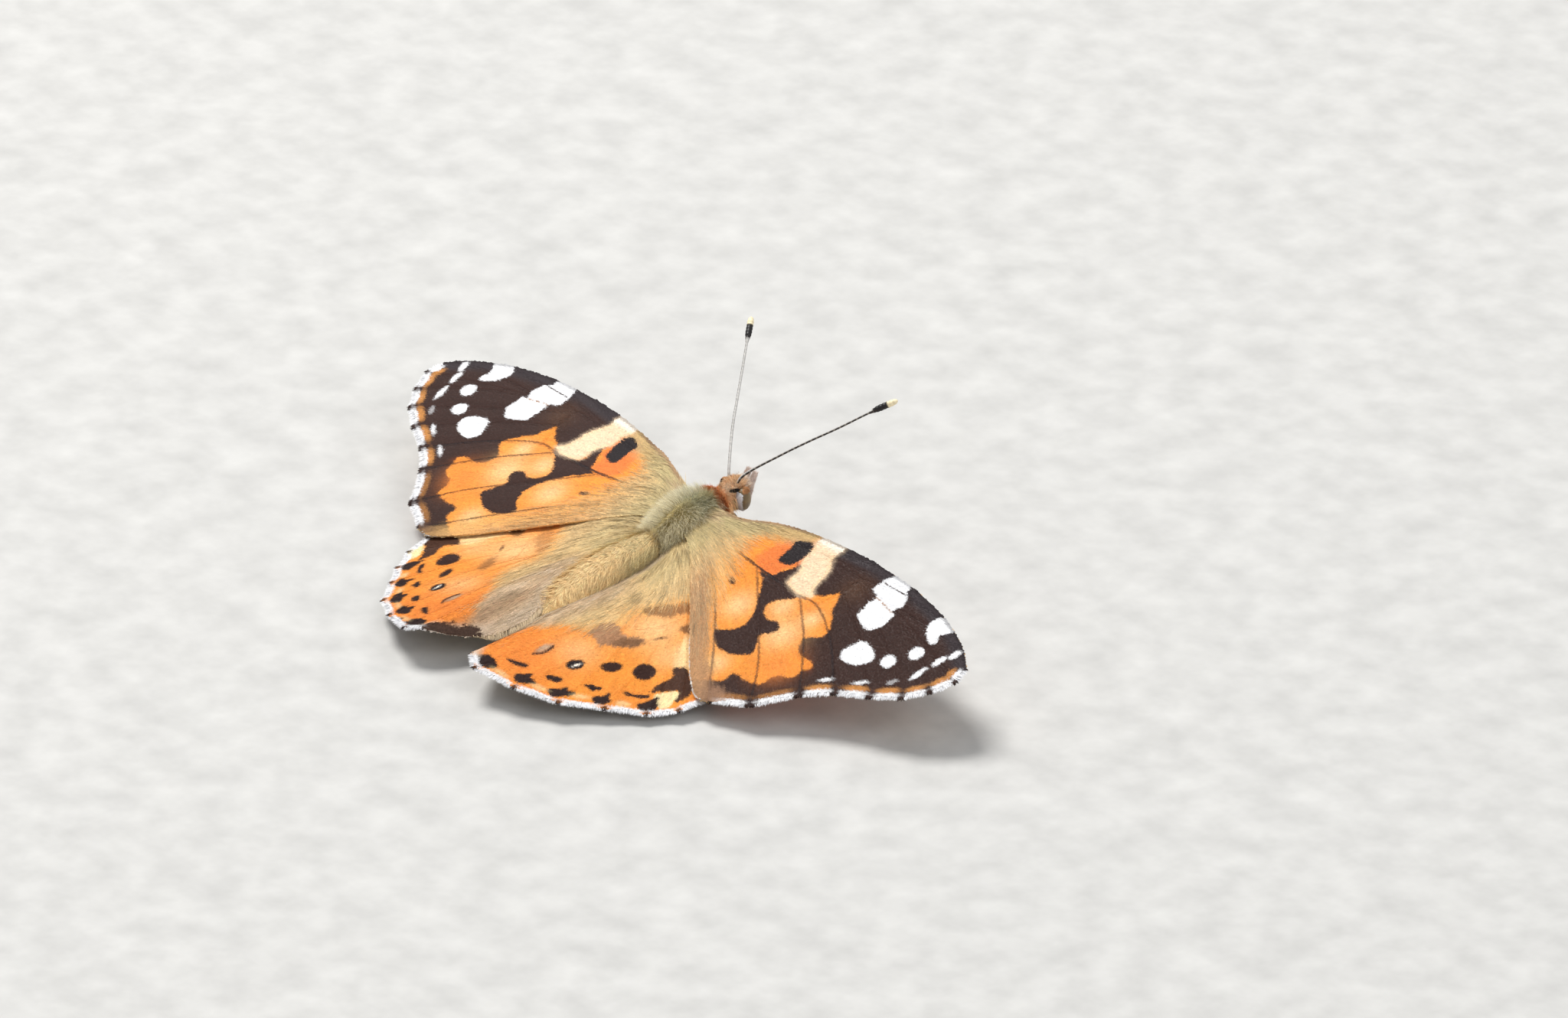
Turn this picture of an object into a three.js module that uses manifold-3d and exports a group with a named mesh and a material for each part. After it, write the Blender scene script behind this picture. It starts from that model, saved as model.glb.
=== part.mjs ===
import * as THREE from 'three';
import Module from 'manifold-3d';

// Painted lady butterfly basking with its wings spread, standing on its four walking legs.
// Millimetres, +Z up, the head towards +Y, the right wings towards +X.
// Shapes are laid out from the neck and then lifted and centred on the floor at the end.

// Overall sizes
const FLOOR = -6.6;            // floor level seen from the neck
const GAP = 0.3;               // clearance between neighbouring nodes
const WING_THICK = 0.5;
const RIDGE_TOP = 0.17;        // height of a vein above the upper membrane
const RIDGE_UNDER = 0.08;      // height of a vein below the lower membrane
const SAG = 0.05;              // membrane sag between the veins
const VEIN_HALF = 0.36;        // half width of a vein ridge at its foot
const VEIN_STEP = 1.45;        // spacing of points along a vein
const EDGE_STEP = 1.05;        // spacing of points along a wing margin
const FILL_STEP = 2.0;         // spacing of points in the open cells
const CLOSE = 0.42;            // points nearer than this are dropped
const EDGE_CLEAR = 0.55;       // inner points keep this far from the margin
const FOOT_RADIUS = 0.27;
const SHAFT_RADIUS = 0.26;     // feeler shaft
const CLUB_SWELL = 0.14;       // how much the club is thicker than the shaft

// Height of the forewing and hindwing surfaces over the plan position
const FORE = { level: 0.865, pitch: 0.351, droop: -0.036 };
const HIND = { level: -1.02, pitch: 0.067, droop: -0.234, fold: 3.0, foldNear: 0.62, foldFar: 1.12 };

function foreHeight(x, y) {
  return FORE.level + FORE.pitch * y + FORE.droop * x;
}

// The inner part of the hindwing folds down beside the abdomen
function hindHeight(x, y) {
  const flat = HIND.level + HIND.pitch * y + HIND.droop * x;
  if (x >= HIND.fold) return flat;
  const along = THREE.MathUtils.clamp((-y - 6) / 15, 0, 1);
  const slope = THREE.MathUtils.lerp(HIND.foldNear, HIND.foldFar, along);
  const depth = HIND.fold - x;
  return flat - slope * depth * depth / (depth + 0.5);
}

// Veins in plan view, root to tip; a forked vein starts on its parent
const FORE_VEINS = {
  sc: [[1.6, -1.5], [7.5, 0.1], [12.5, 1.1], [17.0, 2.05]],
  r1: [[14.3, 0.6], [18.5, 1.35], [22.6, 2.05]],
  radius: [[1.6, -1.9], [7.5, -0.55], [13.0, 0.5], [17.5, 0.45], [21.2, 0.0], [26.5, 0.1], [31.2, -0.6]],
  r2: [[17.5, 0.45], [22.0, 1.15], [27.2, 1.15]],
  r4: [[21.2, 0.0], [26.5, -1.1], [32.4, -2.5]],
  r5: [[23.0, -0.4], [27.6, -2.1], [31.6, -4.3]],
  m1: [[17.5, 0.3], [22.5, -2.0], [26.4, -3.9], [30.2, -6.0]],
  m2: [[17.4, -1.3], [22.0, -3.5], [28.0, -7.35]],
  cross: [[17.5, 0.3], [17.4, -1.3], [16.8, -3.3]],
  cubitus: [[1.6, -2.5], [7.5, -3.1], [14.9, -3.4], [16.8, -3.3], [21.0, -5.3], [25.4, -8.6]],
  cu1: [[14.9, -3.4], [19.0, -6.3], [23.3, -10.2]],
  cu2: [[9.6, -3.3], [13.5, -6.3], [18.0, -9.9], [20.9, -13.1]],
  anal: [[1.6, -3.2], [8.2, -6.4], [12.5, -9.7], [17.8, -14.6]],
};
const FORE_COSTA = [[1.2, -1.1], [4.2, -0.7], [7.4, 0.75], [12.2, 1.8], [19.4, 2.2], [25.2, 1.65],
  [29.6, 0.35], [31.9, -1.05]];
const FORE_TIPS = [[31.9, -1.05], [32.4, -2.5], [31.6, -4.3], [30.2, -6.0], [28.0, -7.35], [25.4, -8.6],
  [23.3, -10.2], [20.9, -13.1], [17.8, -14.6]];
const FORE_INNER = [[17.8, -14.6], [16.6, -14.7], [14.5, -13.6], [11.0, -10.9], [6.8, -7.5], [3.4, -4.9],
  [1.2, -3.9]];

const HIND_VEINS = {
  sc: [[1.6, -4.9], [4.5, -5.9], [8.0, -7.6], [13.0, -11.1], [17.0, -14.4]],
  radius: [[1.6, -5.2], [4.4, -6.8], [8.6, -9.7], [13.0, -13.3], [16.5, -16.7]],
  m1: [[8.6, -9.7], [11.6, -13.2], [15.2, -18.8]],
  m2: [[8.4, -11.3], [10.5, -15.2], [13.0, -21.1]],
  cross: [[8.6, -9.7], [8.4, -11.3], [7.2, -13.6]],
  cubitus: [[1.9, -5.5], [4.6, -9.2], [6.2, -12.4], [7.2, -13.6], [9.0, -18.0], [10.6, -23.7]],
  cu1: [[6.2, -12.4], [7.3, -18.0], [7.5, -25.5]],
  cu2: [[4.6, -9.2], [4.8, -17.0], [4.1, -26.7]],
  anal: [[2.2, -5.7], [3.1, -10.0], [3.1, -19.0], [2.7, -25.8]],
};
const HIND_COSTA = [[1.2, -4.5], [4.0, -4.6], [8.0, -5.7], [12.4, -8.6], [15.8, -12.0], [17.0, -14.4]];
const HIND_TIPS = [[17.0, -14.4], [16.5, -16.7], [15.2, -18.8], [13.0, -21.1], [10.6, -23.7], [7.5, -25.5],
  [4.1, -26.7], [2.7, -25.8]];
const HIND_INNER = [[2.7, -25.8], [1.9, -23.8], [1.15, -21.4], [0.9, -19.0], [1.1, -17.2], [1.8, -15.4],
  [2.3, -13.2], [2.5, -10.0], [2.2, -7.4], [1.2, -6.5]];
const SCALLOP = 0.3;           // depth of the notch between two vein tips

// Trunk sections as [y, z, half width, half height]
const THORAX = [[0.75, -0.75, 0.75, 1.0], [0.35, -0.85, 1.35, 1.65], [-0.6, -1.15, 2.05, 2.35],
  [-1.9, -1.4, 2.4, 2.7], [-3.3, -1.6, 2.35, 2.55], [-4.5, -1.75, 2.0, 2.1], [-5.25, -1.85, 1.6, 1.6],
  [-5.6, -1.9, 1.2, 1.15]];
const HEAD = [[3.2, -0.25, 0.5, 0.6], [2.9, -0.12, 0.9, 1.05], [2.45, -0.02, 1.12, 1.25],
  [1.9, -0.05, 1.12, 1.28], [1.35, -0.25, 0.95, 1.1], [1.1, -0.35, 0.7, 0.85]];
const ABDOMEN_START = -5.9;
const ABDOMEN_END = -16.7;
const ABDOMEN_SEGMENTS = 8;
const ABDOMEN_RADIUS = 1.95;

const COLOURS = {
  thorax: [0x7b7c5c, 0.85], head: [0xa8653a, 0.85], abdomen: [0xb0924f, 0.85], forewing: [0xe08a3c, 0.7],
  hindwing: [0xe58a35, 0.7], antenna: [0x2a2320, 0.5], eye: [0x5f5233, 0.3], palp: [0xb79a88, 0.8],
  proboscis: [0x3c2c1e, 0.45], leg: [0xa89070, 0.7],
};

const wasm = await Module();
wasm.setup();

function lerpRow(row, t) {
  const n = row.length - 1;
  const i = Math.min(Math.floor(t * n), n - 1);
  const f = t * n - i;
  return row[i].map((v, k) => v + (row[i + 1][k] - v) * f);
}

// Points on a smooth line through plan positions, about one step apart
function curve2(points, step) {
  const stops = points.map(([x, y]) => new THREE.Vector3(x, y, 0));
  const curve = new THREE.CatmullRomCurve3(stops, false, 'centripetal');
  const count = Math.max(1, Math.round(curve.getLength() / step));
  return curve.getSpacedPoints(count).map((p) => [p.x, p.y]);
}

// Closed margin: costa, scalloped outer edge, inner edge
function margin(costa, tips, inner) {
  const rim = curve2(costa, EDGE_STEP).slice(0, -1);
  for (let i = 0; i + 1 < tips.length; i += 1) {
    const [ax, ay] = tips[i];
    const [bx, by] = tips[i + 1];
    const span = Math.hypot(bx - ax, by - ay);
    const count = Math.max(2, Math.round(span / EDGE_STEP));
    for (let k = 0; k < count; k += 1) {
      const t = k / count;
      const dip = SCALLOP * Math.sin(Math.PI * t) * Math.min(1, span / 2.5);
      rim.push([ax + (bx - ax) * t + dip * (by - ay) / span, ay + (by - ay) * t - dip * (bx - ax) / span]);
    }
  }
  rim.push(...curve2(inner, EDGE_STEP));
  return rim;
}

function inside(poly, x, y) {
  let odd = false;
  for (let i = 0, j = poly.length - 1; i < poly.length; j = i, i += 1) {
    const [xi, yi] = poly[i];
    const [xj, yj] = poly[j];
    if ((yi > y) !== (yj > y) && x < ((xj - xi) * (y - yi)) / (yj - yi) + xi) odd = !odd;
  }
  return odd;
}

function rimDistance(poly, x, y) {
  let best = Infinity;
  for (let i = 0, j = poly.length - 1; i < poly.length; j = i, i += 1) {
    const [ax, ay] = poly[j];
    const dx = poly[i][0] - ax;
    const dy = poly[i][1] - ay;
    const t = THREE.MathUtils.clamp(((x - ax) * dx + (y - ay) * dy) / (dx * dx + dy * dy), 0, 1);
    best = Math.min(best, Math.hypot(x - ax - t * dx, y - ay - t * dy));
  }
  return best;
}

// Delaunay triangles of a point set, one point added at a time
function delaunay(points) {
  const all = points.map((p) => [p[0], p[1]]);
  const n = all.length;
  all.push([-900, -900], [900, -900], [0, 1500]);
  const make = (a, b, c) => {
    const [ax, ay] = all[a];
    const [bx, by] = all[b];
    const [cx, cy] = all[c];
    const d = 2 * (ax * (by - cy) + bx * (cy - ay) + cx * (ay - by));
    const a2 = ax * ax + ay * ay;
    const b2 = bx * bx + by * by;
    const c2 = cx * cx + cy * cy;
    const ux = (a2 * (by - cy) + b2 * (cy - ay) + c2 * (ay - by)) / d;
    const uy = (a2 * (cx - bx) + b2 * (ax - cx) + c2 * (bx - ax)) / d;
    return { v: [a, b, c], ux, uy, r: (ax - ux) ** 2 + (ay - uy) ** 2 };
  };
  let tris = [make(n, n + 1, n + 2)];
  for (let i = 0; i < n; i += 1) {
    const [x, y] = all[i];
    const open = new Map();
    const keep = [];
    for (const t of tris) {
      if ((x - t.ux) ** 2 + (y - t.uy) ** 2 < t.r) {
        for (let k = 0; k < 3; k += 1) {
          const a = t.v[k];
          const b = t.v[(k + 1) % 3];
          if (!open.delete(`${b} ${a}`)) open.set(`${a} ${b}`, [a, b]);
        }
      } else keep.push(t);
    }
    for (const [a, b] of open.values()) keep.push(make(a, b, i));
    tris = keep;
  }
  return tris.map((t) => t.v).filter((v) => v.every((k) => k < n));
}

// Plan points of one wing with a kind for each: rim, crest, foot or open membrane
function wingPoints(rim, veins) {
  const points = [];
  const add = (x, y, kind, close) => {
    if (kind !== 'rim') {
      if (!inside(rim, x, y) || rimDistance(rim, x, y) < EDGE_CLEAR) return;
      if (points.some((p) => Math.hypot(p[0] - x, p[1] - y) < close)) return;
    }
    points.push([x, y, kind]);
  };
  for (const [x, y] of rim) add(x, y, 'rim', 0);
  const lines = Object.values(veins).map((v) => curve2(v, VEIN_STEP));
  for (const line of lines) {
    for (const [x, y] of line) add(x, y, 'crest', CLOSE);
  }
  for (const line of lines) {
    for (let i = 0; i < line.length; i += 1) {
      const a = line[Math.max(0, i - 1)];
      const b = line[Math.min(line.length - 1, i + 1)];
      const s = VEIN_HALF / Math.hypot(b[0] - a[0], b[1] - a[1]);
      for (const side of [-s, s]) {
        add(line[i][0] - side * (b[1] - a[1]), line[i][1] + side * (b[0] - a[0]), 'foot', 0.3);
      }
    }
  }
  for (let row = 0; row < 20; row += 1) {
    for (let col = 0; col < 20; col += 1) {
      const shift = 0.13 * Math.sin(3.1 * row + 1.7 * col);
      const x = 1 + FILL_STEP * (col + 0.5 * (row % 2)) + shift;
      const y = 3 - FILL_STEP * 0.87 * row - shift;
      add(x, y, 'open', FILL_STEP * 0.6);
    }
  }
  return points;
}

function solid(vertices, triangles) {
  const geometry = new THREE.BufferGeometry();
  geometry.setAttribute('position', new THREE.Float32BufferAttribute(vertices.flat(), 3));
  geometry.setIndex(triangles.flat());
  return geometry;
}

// A wing of even thickness with the same triangles above and below and its veins raised
function wing(costa, tips, inner, veins, height) {
  const rim = margin(costa, tips, inner);
  const points = wingPoints(rim, veins);
  const faces = delaunay(points).filter(([a, b, c]) => {
    const x = (points[a][0] + points[b][0] + points[c][0]) / 3;
    const y = (points[a][1] + points[b][1] + points[c][1]) / 3;
    return inside(rim, x, y);
  });
  const rise = { rim: 0, foot: 0, crest: RIDGE_TOP, open: -SAG };
  const fall = { rim: 0, foot: 0, crest: RIDGE_UNDER, open: SAG };
  const top = points.map(([x, y, kind]) => [x, y, height(x, y) + WING_THICK / 2 + rise[kind]]);
  const under = points.map(([x, y, kind]) => [x, y, height(x, y) - WING_THICK / 2 - fall[kind]]);
  const n = points.length;
  const triangles = [];
  const edges = new Map();
  for (const [a, b, c] of faces) {
    triangles.push([a, b, c], [n + a, n + c, n + b]);
    for (const [p, q] of [[a, b], [b, c], [c, a]]) {
      if (!edges.delete(`${q} ${p}`)) edges.set(`${p} ${q}`, [p, q]);
    }
  }
  for (const [p, q] of edges.values()) triangles.push([p, n + p, n + q], [p, n + q, q]);
  return solid([...top, ...under], triangles);
}

// Closed body through elliptic sections; each section is centre, two half axes as vectors
function loft(sections, sides) {
  const vertices = [];
  const triangles = [];
  for (const s of sections) {
    for (let k = 0; k < sides; k += 1) {
      const turn = (2 * Math.PI * k) / sides;
      const across = s.centre.clone().addScaledVector(s.u, Math.cos(turn));
      vertices.push(across.addScaledVector(s.v, Math.sin(turn)).toArray());
    }
  }
  for (let i = 0; i + 1 < sections.length; i += 1) {
    for (let k = 0; k < sides; k += 1) {
      const a = i * sides + k;
      const b = i * sides + ((k + 1) % sides);
      triangles.push([a, b, b + sides], [a, b + sides, a + sides]);
    }
  }
  const first = vertices.length;
  vertices.push(sections[0].centre.toArray(), sections[sections.length - 1].centre.toArray());
  const last = (sections.length - 1) * sides;
  for (let k = 0; k < sides; k += 1) {
    const next = (k + 1) % sides;
    triangles.push([first, next, k], [first + 1, last + k, last + next]);
  }
  return solid(vertices, triangles);
}

// Trunk part from sections along y, grown all round by a clearance
function trunk(rows, steps, sides, grow) {
  const spine = rows.map(([y, z]) => new THREE.Vector3(0, y, z));
  const curve = new THREE.CatmullRomCurve3(spine, false, 'centripetal');
  const sections = [];
  for (let i = 0; i <= steps; i += 1) {
    const t = i / steps;
    const [, , wide, high] = lerpRow(rows, t);
    const centre = curve.getPoint(t);
    if (i === 0) centre.y += grow;
    if (i === steps) centre.y -= grow;
    const u = new THREE.Vector3(wide + grow, 0, 0);
    const v = new THREE.Vector3(0, 0, high + grow);
    sections.push({ centre, u, v });
  }
  return loft(sections, sides);
}

// Round limb along a path; the radius is a function of the way along it
function limb(path, radius, steps, sides) {
  const curve = new THREE.CatmullRomCurve3(path.map((p) => new THREE.Vector3(...p)), false, 'centripetal');
  const frames = curve.computeFrenetFrames(steps, false);
  const sections = [];
  for (let i = 0; i <= steps; i += 1) {
    const r = radius(i / steps);
    sections.push({ centre: curve.getPointAt(i / steps), u: frames.normals[i].clone().multiplyScalar(r),
      v: frames.binormals[i].clone().multiplyScalar(r) });
  }
  return loft(sections, sides);
}

function toManifold(geometry) {
  return new wasm.Manifold(new wasm.Mesh({
    numProp: 3,
    vertProperties: new Float32Array(geometry.attributes.position.array),
    triVerts: new Uint32Array(geometry.index.array),
  }));
}

// Cut bodies away from a shape and keep its largest piece
function carve(geometry, cutters) {
  let body = toManifold(geometry);
  for (const cutter of cutters) body = body.subtract(toManifold(cutter));
  const pieces = body.decompose().sort((a, b) => b.volume() - a.volume());
  const mesh = pieces[0].simplify(0.004).getMesh();
  const out = new THREE.BufferGeometry();
  const rows = [];
  for (let i = 0; i < mesh.numVert; i += 1) {
    for (let k = 0; k < 3; k += 1) rows.push(mesh.vertProperties[i * mesh.numProp + k]);
  }
  out.setAttribute('position', new THREE.Float32BufferAttribute(rows, 3));
  out.setIndex(Array.from(mesh.triVerts));
  return out;
}

function mirrored(geometry) {
  const out = geometry.clone();
  out.scale(-1, 1, 1);
  const index = Array.from(out.index.array);
  for (let i = 0; i < index.length; i += 3) [index[i + 1], index[i + 2]] = [index[i + 2], index[i + 1]];
  out.setIndex(index);
  return out;
}

function abdomen(grow) {
  const rows = [];
  const steps = ABDOMEN_SEGMENTS * 2;
  for (let i = 0; i <= steps; i += 1) {
    const t = i / steps;
    const y = THREE.MathUtils.lerp(ABDOMEN_START, ABDOMEN_END, t);
    const z = -1.9 - 1.9 * t - 0.85 * t * t;
    const taper = t < 0.5 ? 0.66 + 0.34 * Math.sin(Math.PI * t) : 1 - 0.82 * (2 * t - 1) ** 2.6;
    const full = ABDOMEN_RADIUS * taper;
    const pinch = i % 2 === 1 ? 1.02 : 0.965;
    rows.push([y, z, full * pinch, full * pinch * 0.98]);
  }
  const sections = rows.map(([y, z, wide, high], i) => ({
    centre: new THREE.Vector3(0, y + (i === 0 ? grow : i === steps ? -grow : 0), z),
    u: new THREE.Vector3(wide + grow, 0, 0),
    v: new THREE.Vector3(0, 0, high + grow),
  }));
  return loft(sections, 18);
}

function ellipsoid(centre, half, detail) {
  const ball = new THREE.SphereGeometry(1, detail, Math.round(detail * 0.7));
  const flat = new THREE.BufferGeometry();
  const key = new Map();
  const rows = [];
  const remap = [];
  const p = ball.attributes.position;
  for (let i = 0; i < p.count; i += 1) {
    const at = [p.getX(i), p.getY(i), p.getZ(i)];
    const name = at.map((v) => v.toFixed(5)).join(' ').replaceAll('-0.00000', '0.00000');
    if (!key.has(name)) {
      key.set(name, rows.length / 3);
      rows.push(...at.map((v, k) => centre[k] + half[k] * v));
    }
    remap.push(key.get(name));
  }
  const index = [];
  const old = ball.index.array;
  for (let i = 0; i < old.length; i += 3) {
    const t = [remap[old[i]], remap[old[i + 1]], remap[old[i + 2]]];
    if (new Set(t).size === 3) index.push(...t);
  }
  flat.setAttribute('position', new THREE.Float32BufferAttribute(rows, 3));
  flat.setIndex(index);
  return flat;
}

// Everything below the floor, to give each foot its flat
function belowFloor() {
  const box = new THREE.BoxGeometry(80, 80, 4);
  const rows = [];
  const corner = [];
  const p = box.attributes.position;
  for (let i = 0; i < p.count; i += 1) {
    const name = `${p.getX(i)} ${p.getY(i)} ${p.getZ(i)}`;
    if (!corner.includes(name)) {
      corner.push(name);
      rows.push([p.getX(i), p.getY(i), p.getZ(i) + FLOOR - 2]);
    }
  }
  const at = (i) => corner.indexOf(`${p.getX(i)} ${p.getY(i)} ${p.getZ(i)}`);
  const index = [];
  for (let i = 0; i < box.index.count; i += 3) index.push([0, 1, 2].map((k) => at(box.index.getX(i + k))));
  return solid(rows, index);
}

const thoraxGrown = trunk(THORAX, 12, 24, GAP);
const headGrown = trunk(HEAD, 9, 20, GAP);
const abdomenGrown = abdomen(GAP);
const ground = belowFloor();

const forewing = carve(wing(FORE_COSTA, FORE_TIPS, FORE_INNER, FORE_VEINS, foreHeight), [thoraxGrown]);
const hindPlate = wing(HIND_COSTA, HIND_TIPS, HIND_INNER, HIND_VEINS, hindHeight);
const hindwing = carve(hindPlate, [thoraxGrown, abdomenGrown]);
const eye = carve(ellipsoid([1.12, 2.35, -0.15], [0.72, 0.8, 1.02], 15), [headGrown]);

const FEELER = [[0.5, 2.1, 0.9], [0.85, 2.4, 1.65], [2.95, 4.38, 3.78], [4.4, 5.99, 5.03], [5.85, 7.6, 6.2],
  [7.6, 9.55, 7.72], [8.8, 10.88, 8.62]];
function feelerRadius(t) {
  const club = THREE.MathUtils.smoothstep(t, 0.84, 0.92);
  const tip = Math.sqrt(Math.max(0.03, 1 - Math.max(0, (t - 0.95) / 0.055) ** 2));
  return (SHAFT_RADIUS + CLUB_SWELL * club) * tip;
}
const antenna = carve(limb(FEELER, feelerRadius, 24, 8), [headGrown]);

const palp = carve(limb([[0.5, 3.1, -1.05], [0.5, 3.55, -0.5], [0.45, 3.8, 0.5], [0.4, 3.78, 1.4]],
  (t) => 0.36 * Math.sqrt(1 - 0.75 * t), 7, 8), [headGrown]);

// Tongue rolled up below the head
const COIL_TURNS = 0.95;
const coil = [];
for (let i = 0; i <= 24; i += 1) {
  const t = i / 24;
  const turn = 2 * Math.PI * COIL_TURNS * t;
  const r = 0.3 + 0.3 * t;
  coil.push([0, 1.75 - r * Math.sin(turn), -2.4 + r * Math.cos(turn)]);
}
const proboscis = carve(limb(coil, (t) => 0.21 + 0.03 * t, 30, 8), [headGrown, thoraxGrown]);

// Legs: path from hip to claw, thick thigh, slimmer shin and tarsus lying on the floor
const TOE = FLOOR + FOOT_RADIUS * 0.62;
const MID_LEG = [[1.5, -2.2, -4.0], [3.0, -1.5, -3.9], [4.6, -0.7, -4.0], [5.7, -0.1, -5.2],
  [6.6, 0.4, TOE], [8.0, 1.1, TOE], [9.3, 1.7, TOE]];
const HIND_LEG = [[1.3, -4.2, -3.9], [2.5, -5.6, -3.8], [3.9, -7.1, -4.0], [4.7, -8.5, -5.2],
  [5.2, -9.7, TOE], [5.8, -11.2, TOE], [6.2, -12.5, TOE]];
const FORE_LEG = [[0.95, -0.1, -3.25], [1.15, 0.9, -3.3], [1.1, 1.7, -2.75], [1.0, 1.5, -2.05]];
function legRadius(t) {
  const thigh = 0.16 * Math.sin(Math.PI * THREE.MathUtils.clamp(t / 0.42, 0, 1));
  return FOOT_RADIUS + thigh;
}
const midLeg = carve(limb(MID_LEG, legRadius, 24, 8), [thoraxGrown, ground]);
const hindLeg = carve(limb(HIND_LEG, legRadius, 24, 8), [thoraxGrown, ground]);
const foreLeg = carve(limb(FORE_LEG, (t) => 0.34 - 0.08 * t, 10, 8), [thoraxGrown, headGrown]);

const root = new THREE.Group();
function place(name, kind, geometry) {
  const [color, roughness] = COLOURS[kind];
  const mesh = new THREE.Mesh(geometry, new THREE.MeshStandardMaterial({ color, roughness, metalness: 0 }));
  mesh.name = name;
  root.add(mesh);
}
function pair(name, kind, geometry) {
  place(`${name}_right`, kind, geometry);
  place(`${name}_left`, kind, mirrored(geometry));
}

place('thorax', 'thorax', trunk(THORAX, 12, 24, 0));
place('head', 'head', trunk(HEAD, 9, 20, 0));
place('abdomen', 'abdomen', abdomen(0));
pair('forewing', 'forewing', forewing);
pair('hindwing', 'hindwing', hindwing);
pair('eye', 'eye', eye);
pair('antenna', 'antenna', antenna);
pair('palp', 'palp', palp);
place('proboscis', 'proboscis', proboscis);
pair('foreleg', 'leg', foreLeg);
pair('midleg', 'leg', midLeg);
pair('hindleg', 'leg', hindLeg);

// Stand it on the floor with the middle of its outline over the origin
const bounds = new THREE.Box3().setFromObject(root);
const centreY = (bounds.min.y + bounds.max.y) / 2;
for (const mesh of root.children) mesh.geometry.translate(0, -centreY, -FLOOR);

export default root;
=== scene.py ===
import math

import bpy
import numpy as np
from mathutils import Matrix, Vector
from mathutils.geometry import delaunay_2d_cdt

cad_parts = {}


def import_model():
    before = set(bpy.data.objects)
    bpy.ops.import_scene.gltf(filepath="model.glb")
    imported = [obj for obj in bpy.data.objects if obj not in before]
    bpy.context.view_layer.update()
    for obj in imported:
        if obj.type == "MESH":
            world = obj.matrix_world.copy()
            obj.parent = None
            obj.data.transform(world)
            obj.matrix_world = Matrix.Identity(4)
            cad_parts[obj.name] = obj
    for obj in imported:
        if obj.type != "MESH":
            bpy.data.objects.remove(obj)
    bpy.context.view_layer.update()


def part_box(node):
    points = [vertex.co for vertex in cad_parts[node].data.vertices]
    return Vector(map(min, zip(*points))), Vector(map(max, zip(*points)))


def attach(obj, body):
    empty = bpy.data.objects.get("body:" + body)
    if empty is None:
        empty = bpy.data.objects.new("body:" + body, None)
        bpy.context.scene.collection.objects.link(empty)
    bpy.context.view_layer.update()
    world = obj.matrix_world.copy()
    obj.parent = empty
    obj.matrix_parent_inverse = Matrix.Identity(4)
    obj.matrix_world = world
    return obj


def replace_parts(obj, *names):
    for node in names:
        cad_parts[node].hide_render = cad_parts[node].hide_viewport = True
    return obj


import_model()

# Shapes are laid out in millimetres from the neck, as the solids are, then moved to the row frame.
MM = 0.001
THORAX_FRONT = 0.75       # the thorax's front end, ahead of the neck
FLOOR_DROP = 6.6          # height of the neck over the floor
NECK = np.array([0.0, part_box("thorax")[1].y / MM - THORAX_FRONT, FLOOR_DROP])
FINE = 1.0      # share of the coat that is grown
BOTH = ((1, "right"), (-1, "left"))

# ---------------------------------------------------------------- curves and noise


def spline(points, step):
    """Points about one step apart on a smooth line through the given ones."""
    p = np.array(points, float)
    q = np.vstack([2 * p[0] - p[1], p, 2 * p[-1] - p[-2]])
    rows = []
    t = (np.arange(16) / 16)[:, None]
    for i in range(len(p) - 1):
        a, b, c, d = q[i:i + 4]
        ab, bc, cd = (max(np.linalg.norm(v) ** 0.5, 1e-4) for v in (b - a, c - b, d - c))
        start = ((b - a) / ab - (c - a) / (ab + bc) + (c - b) / bc) * bc
        end = ((c - b) / bc - (d - b) / (bc + cd) + (d - c) / cd) * bc
        rows.append(b + start * t + (3 * c - 3 * b - 2 * start - end) * t ** 2
                    + (2 * b - 2 * c + start + end) * t ** 3)
    dense = np.vstack(rows + [p[-1:]])
    way = np.concatenate([[0], np.cumsum(np.linalg.norm(np.diff(dense, axis=0), axis=1))])
    at = np.linspace(0, way[-1], max(1, round(way[-1] / step)) + 1)
    return np.column_stack([np.interp(at, way, dense[:, k]) for k in range(dense.shape[1])])


def ring(points, cuts=5):
    """Smooth closed outline through the given points."""
    p = np.array(points, float)
    a, b, c, d = (np.roll(p, k, 0)[:, None, :] for k in (1, 0, -1, -2))
    t = (np.arange(cuts) / cuts)[None, :, None]
    q = 0.5 * (2 * b + (c - a) * t + (2 * a - 5 * b + 4 * c - d) * t ** 2 + (3 * b - a - 3 * c + d) * t ** 3)
    return q.reshape(-1, 2)


def line_distance(x, y, line):
    best = np.full(np.shape(x), 1e9)
    for (ax, ay), (bx, by) in zip(line[:-1], line[1:]):
        dx, dy = bx - ax, by - ay
        t = np.clip(((x - ax) * dx + (y - ay) * dy) / (dx * dx + dy * dy + 1e-12), 0, 1)
        best = np.minimum(best, (x - ax - t * dx) ** 2 + (y - ay - t * dy) ** 2)
    return np.sqrt(best)


def inside(x, y, outline):
    odd = np.zeros(np.shape(x), bool)
    for (ax, ay), (bx, by) in zip(outline, np.roll(outline, -1, 0)):
        if ay != by:
            odd ^= ((ay > y) != (by > y)) & (x < (bx - ax) * (y - ay) / (by - ay) + ax)
    return odd


def edge_distance(x, y, outline):
    return line_distance(x, y, np.vstack([outline, outline[:1]]))


def signed(x, y, outline):
    """Distance to a closed outline, positive inside."""
    return np.where(inside(x, y, outline), 1, -1) * edge_distance(x, y, outline)


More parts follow.
